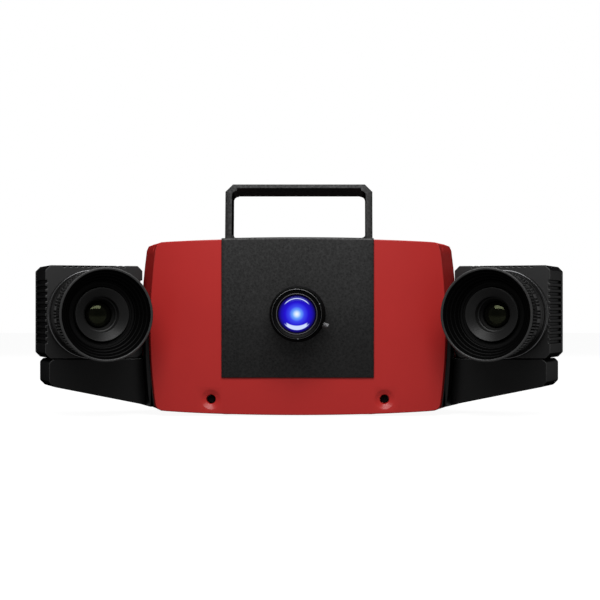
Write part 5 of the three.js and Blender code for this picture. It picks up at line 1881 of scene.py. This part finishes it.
@dataclass
class Connector:
    """A round locking connector in the rear panel, seen from behind."""

    node: str
    pins: int
    flange_width: float = 0.0015
    rim: float = 0.0015
    grip: float = 0.0018
    ribs: int = 36
    rib_height: float = 0.0003
    recess: float = 0.004
    insert_height: float = 0.0022
    pin_radius: float = 0.0006
    pin_root: float = 0.0016
    pin_tip: float = 0.0034
    pin_circle: float = 0.56

    def build(self) -> None:
        """Make the ribbed shell, the insert and the pins where the CAD has the connector."""
        low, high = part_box(self.node)
        reach = (high.x - low.x) / 2
        bore = reach - self.flange_width - self.rim
        middle = Matrix.Translation(((low.x + high.x) / 2, high.y, (low.z + high.z) / 2))
        place = middle @ Matrix.Rotation(np.pi, 4, "Z")
        label, body = self.node, "scanner_body"
        piece(f"{label}_shell", self.shell(reach, bore, low.y - high.y).moved(place),
              Finishes.dark_steel.material(), body, (label,))
        floor, wall = -self.recess - 0.0002, bore - 0.0003
        top = -self.recess + self.insert_height
        insert = turned([[0, floor], [wall, floor], [wall, top], [0, top]], 48, ease=0.0003)
        piece(f"{label}_insert", insert.moved(place), Finishes.plastic.material(), body, ())
        ring, r = bore * self.pin_circle, self.pin_radius
        root, tip = -self.recess + self.pin_root, -self.recess + self.pin_tip
        pin = turned([[0, root], [r, root], [r, tip - 0.0003], [r * 0.5, tip], [0, tip]], 16)
        for number in range(self.pins):
            turn = FULL_TURN * number / self.pins
            spot = Matrix.Translation((ring * np.cos(turn), 0, ring * np.sin(turn)))
            piece(f"{label}_pin_{number + 1}", pin.moved(place @ spot), Finishes.zinc.material(),
                  body, ())

    def shell(self, reach: float, bore: float, depth: float) -> Surface:
        """Return the shell, whose flange has ribs: a rib's height is a cosine of the angle.

        Args:
            reach: Radius of the flange.
            bore: Radius of the recess.
            depth: Where the shell ends inside, forwards.

        Returns:
            The closed surface.
        """
        wall = bore + self.rim * 0.9
        profile = eased(np.array([
            [0, depth], [wall, depth], [wall, -self.grip], [reach, -self.grip], [reach, -0.0004],
            [reach - 0.0005, 0], [bore + 0.0004, 0], [bore, -0.0004], [bore, -self.recess],
            [0, -self.recess]]), 0.0002, 2, closed=False)
        sides = self.ribs * 4
        angle = all_round(sides)
        weight = (profile[:, 0] > reach - 1e-4).astype(float)
        wave = 0.5 + 0.5 * np.cos(self.ribs * angle)
        return turned(profile, sides, -self.rib_height * weight[:, None] * wave[None])


@dataclass
class Rear:
    """The connectors, and the screws that hold the rear panel."""

    screw_radius: float = 0.0028
    screw_height: float = 0.0012
    screw_socket: float = 0.0026
    screw_proud: float = 0.0011
    screw_x: float = 0.138
    screw_low: float = 0.026
    screw_high: float = 0.153

    def build(self) -> None:
        """Make the three connectors and the rear panel's screws."""
        for node, pins in (("power_port", 4), ("network_port", 8), ("sync_port", 6)):
            Connector(node, pins).build()
        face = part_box("rear_panel")[1].y + self.screw_proud
        head = screw_head(self.screw_radius, self.screw_height, self.screw_socket)
        for side in Side:
            for row, z in (("low", self.screw_low), ("high", self.screw_high)):
                place = Matrix.Translation((side.value * self.screw_x, face, z))
                piece(f"rear_screw_{side.label}_{row}",
                      head.moved(place @ Matrix.Rotation(np.pi, 4, "Z")),
                      Finishes.dark_steel.material(), "scanner_body", ())


@dataclass
class Inside:
    """Pieces that keep their CAD shape and get a finish."""

    def build(self) -> None:
        """Give each remaining CAD node the material of its kind."""
        finishes = {
            "rear_panel": Finishes.powder_coat, "chassis": Finishes.milled,
            "base_plate": Finishes.anodised, "projector_engine": Finishes.milled,
            "heat_sink": Finishes.milled, "fan_frame": Finishes.plastic,
            "fan_rotor": Finishes.plastic, "switch_bezel": Finishes.plastic,
            "power_rocker": Finishes.plastic,
            "control_board": Finishes.mask_green, "power_supply": Finishes.milled,
        }
        for side in Side:
            # The near-black cover screws paint the shade at the bottom of the screw holes.
            finishes[f"cover_screw_{side.label}"] = Finishes.black_oxide
            finishes[f"{side.label}_swivel_bolt"] = Finishes.zinc
            finishes[f"{side.label}_sensor_board"] = Finishes.mask_green
        for node, finish in finishes.items():
            mesh = frame["nodes"][node].data
            mesh.materials.clear()
            mesh.materials.append(finish.material())
            log.info("%s: finish %s", node, finish.name)


# Light, floor and camera


@dataclass(frozen=True)
class Lamp:
    """One soft rectangular lamp that faces a point, with its power in watts."""

    name: str
    place: Triple
    target: Triple
    size: tuple[float, float]
    power: float

    def build(self) -> None:
        """Add the lamp to the scene."""
        data = bpy.data.lights.new(self.name, "AREA")
        data.shape = "RECTANGLE"
        data.size, data.size_y = self.size
        data.energy = self.power
        made = bpy.data.objects.new(self.name, data)
        made.location = self.place
        aim = Vector(self.target) - Vector(self.place)
        made.rotation_euler = aim.to_track_quat("-Z", "Y").to_euler()
        bpy.context.scene.collection.objects.link(made)


@dataclass
class Studio:
    """A pale floor, soft lamps and the camera at the photograph's angle."""

    distance: float = 1.5
    across: float = 0.035
    up: float = 0.1043
    focal: float = 90.0
    sensor: float = 36.0
    shift_x: float = -0.0544
    shift_y: float = 0.02
    floor_size: float = 12.0
    floor_colour: float = 0.16
    floor_lift: float = 0.94
    room: float = 0.1
    world: float = 0.16
    lamps: tuple[Lamp, ...] = (
        Lamp("key", (0.0, -0.75, 0.60), (0, 0, 0.11), (0.8, 0.44), 5.6),
        Lamp("high", (0.0, -0.80, 1.10), (0, 0, 0.11), (0.8, 0.5), 7),
        Lamp("top", (0.0, 0.1, 1.3), (0, 0, 0.1), (1.2, 0.5), 4),
        Lamp("rear", (0.0, 1.6, 1.1), (0, 0, 0.1), (1.6, 0.8), 12),
    )

    def camera(self) -> None:
        """Place the camera where the photograph's perspective puts it."""
        data = bpy.data.cameras.new("camera")
        data.lens = self.focal
        data.sensor_width = self.sensor
        data.shift_x = self.shift_x
        data.shift_y = self.shift_y
        made = bpy.data.objects.new("camera", data)
        made.location = (self.across, FRONT_Y - self.distance, self.up)
        made.rotation_euler = (np.pi / 2, 0, 0)
        bpy.context.scene.collection.objects.link(made)
        bpy.context.scene.camera = made

    def background_rays(self, sheet: Sheet, forward: Socket, near: float, far: float) -> Socket:
        """Return how much of the white sweep a ray meets.

        It is one for camera and transmission rays. For glossy rays it climbs by a smooth step
        of Y from the room in front of the scanner to the sweep behind it.

        Args:
            sheet: Sheet of the material or world.
            forward: Y of the place or of the direction.
            near: Y up to which the room is.
            far: Y from which the sweep is.

        Returns:
            The share, from nought for diffuse rays to one.
        """
        path = sheet.add("ShaderNodeLightPath")
        climb = sheet.step(forward, near, far, self.room)
        glossy = sheet.math("MULTIPLY", path.outputs["Is Glossy Ray"], climb)
        seen = sheet.math("MAXIMUM", path.outputs["Is Camera Ray"], glossy)
        return sheet.math("MAXIMUM", seen, path.outputs["Is Transmission Ray"])

    def light_world(self) -> None:
        """Make the world white where it is seen, mirrored or seen through, and softer as light."""
        world = bpy.data.worlds.new("studio")
        bpy.context.scene.world = world
        world.use_nodes = True
        sheet = Sheet(world.node_tree)
        background = world.node_tree.nodes["Background"]
        background.inputs["Color"].default_value = (1, 1, 1, 1)
        direction = sheet.parts(sheet.add("ShaderNodeTexCoord").outputs["Generated"])
        seen = self.background_rays(sheet, direction["Y"], -0.1, 0.4)
        path = sheet.add("ShaderNodeLightPath")
        soft = sheet.math("MULTIPLY", path.outputs["Is Diffuse Ray"], self.world)
        sheet.link(sheet.math("MAXIMUM", seen, soft), background.inputs["Strength"])

    def floor(self) -> None:
        """Lay the floor under the base plate.

        It is grey to diffuse rays. Camera, glossy and transmission rays find it lifted by a
        fixed amount, which makes it white except in the object's shadow.
        """
        half = self.floor_size / 2
        corners = np.array([[-half, -half, 0], [half, -half, 0], [half, half, 0], [-half, half, 0]])
        mesh = bpy.data.meshes.new("floor")
        mesh.from_pydata((corners + [0, 0, -0.0005]).tolist(), [], [[0, 1, 2, 3]])
        made = bpy.data.objects.new("floor", mesh)
        material, sheet, shader = new_material("floor")
        shader.inputs["Base Color"].default_value = (*[self.floor_colour] * 3, 1)
        shader.inputs["Roughness"].default_value = 0.9
        shader.inputs["Specular IOR Level"].default_value = 0.0
        shader.inputs["Emission Color"].default_value = (1, 1, 1, 1)
        place = sheet.parts(sheet.add("ShaderNodeTexCoord").outputs["Object"])
        seen = self.background_rays(sheet, place["Y"], -0.1, 0.5)
        lift = sheet.math("MULTIPLY", seen, self.floor_lift)
        sheet.link(lift, shader.inputs["Emission Strength"])
        mesh.materials.append(material)
        bpy.context.scene.collection.objects.link(made)

    def build(self) -> None:
        """Make the camera, the lamps, the world and the floor."""
        self.camera()
        for lamp in self.lamps:
            lamp.build()
        self.light_world()
        self.floor()
        bpy.context.scene.view_settings.view_transform = "Standard"


def corners(box: tuple) -> list:
    """Return a box's two corners as plain lists of numbers."""
    return [[float(v) for v in corner] for corner in box]


def main() -> None:
    """Build the scanner's pieces in order, then light it."""
    logging.basicConfig(level=logging.INFO, format="%(message)s")
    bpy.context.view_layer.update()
    grain_group()
    turning_group()
    Body().build()
    Handle().build()
    Projector().build()
    for side in Side:
        Camera(side).build()
    Rear().build()
    Inside().build()
    Studio().build()


if __name__ == "__main__":
    main()
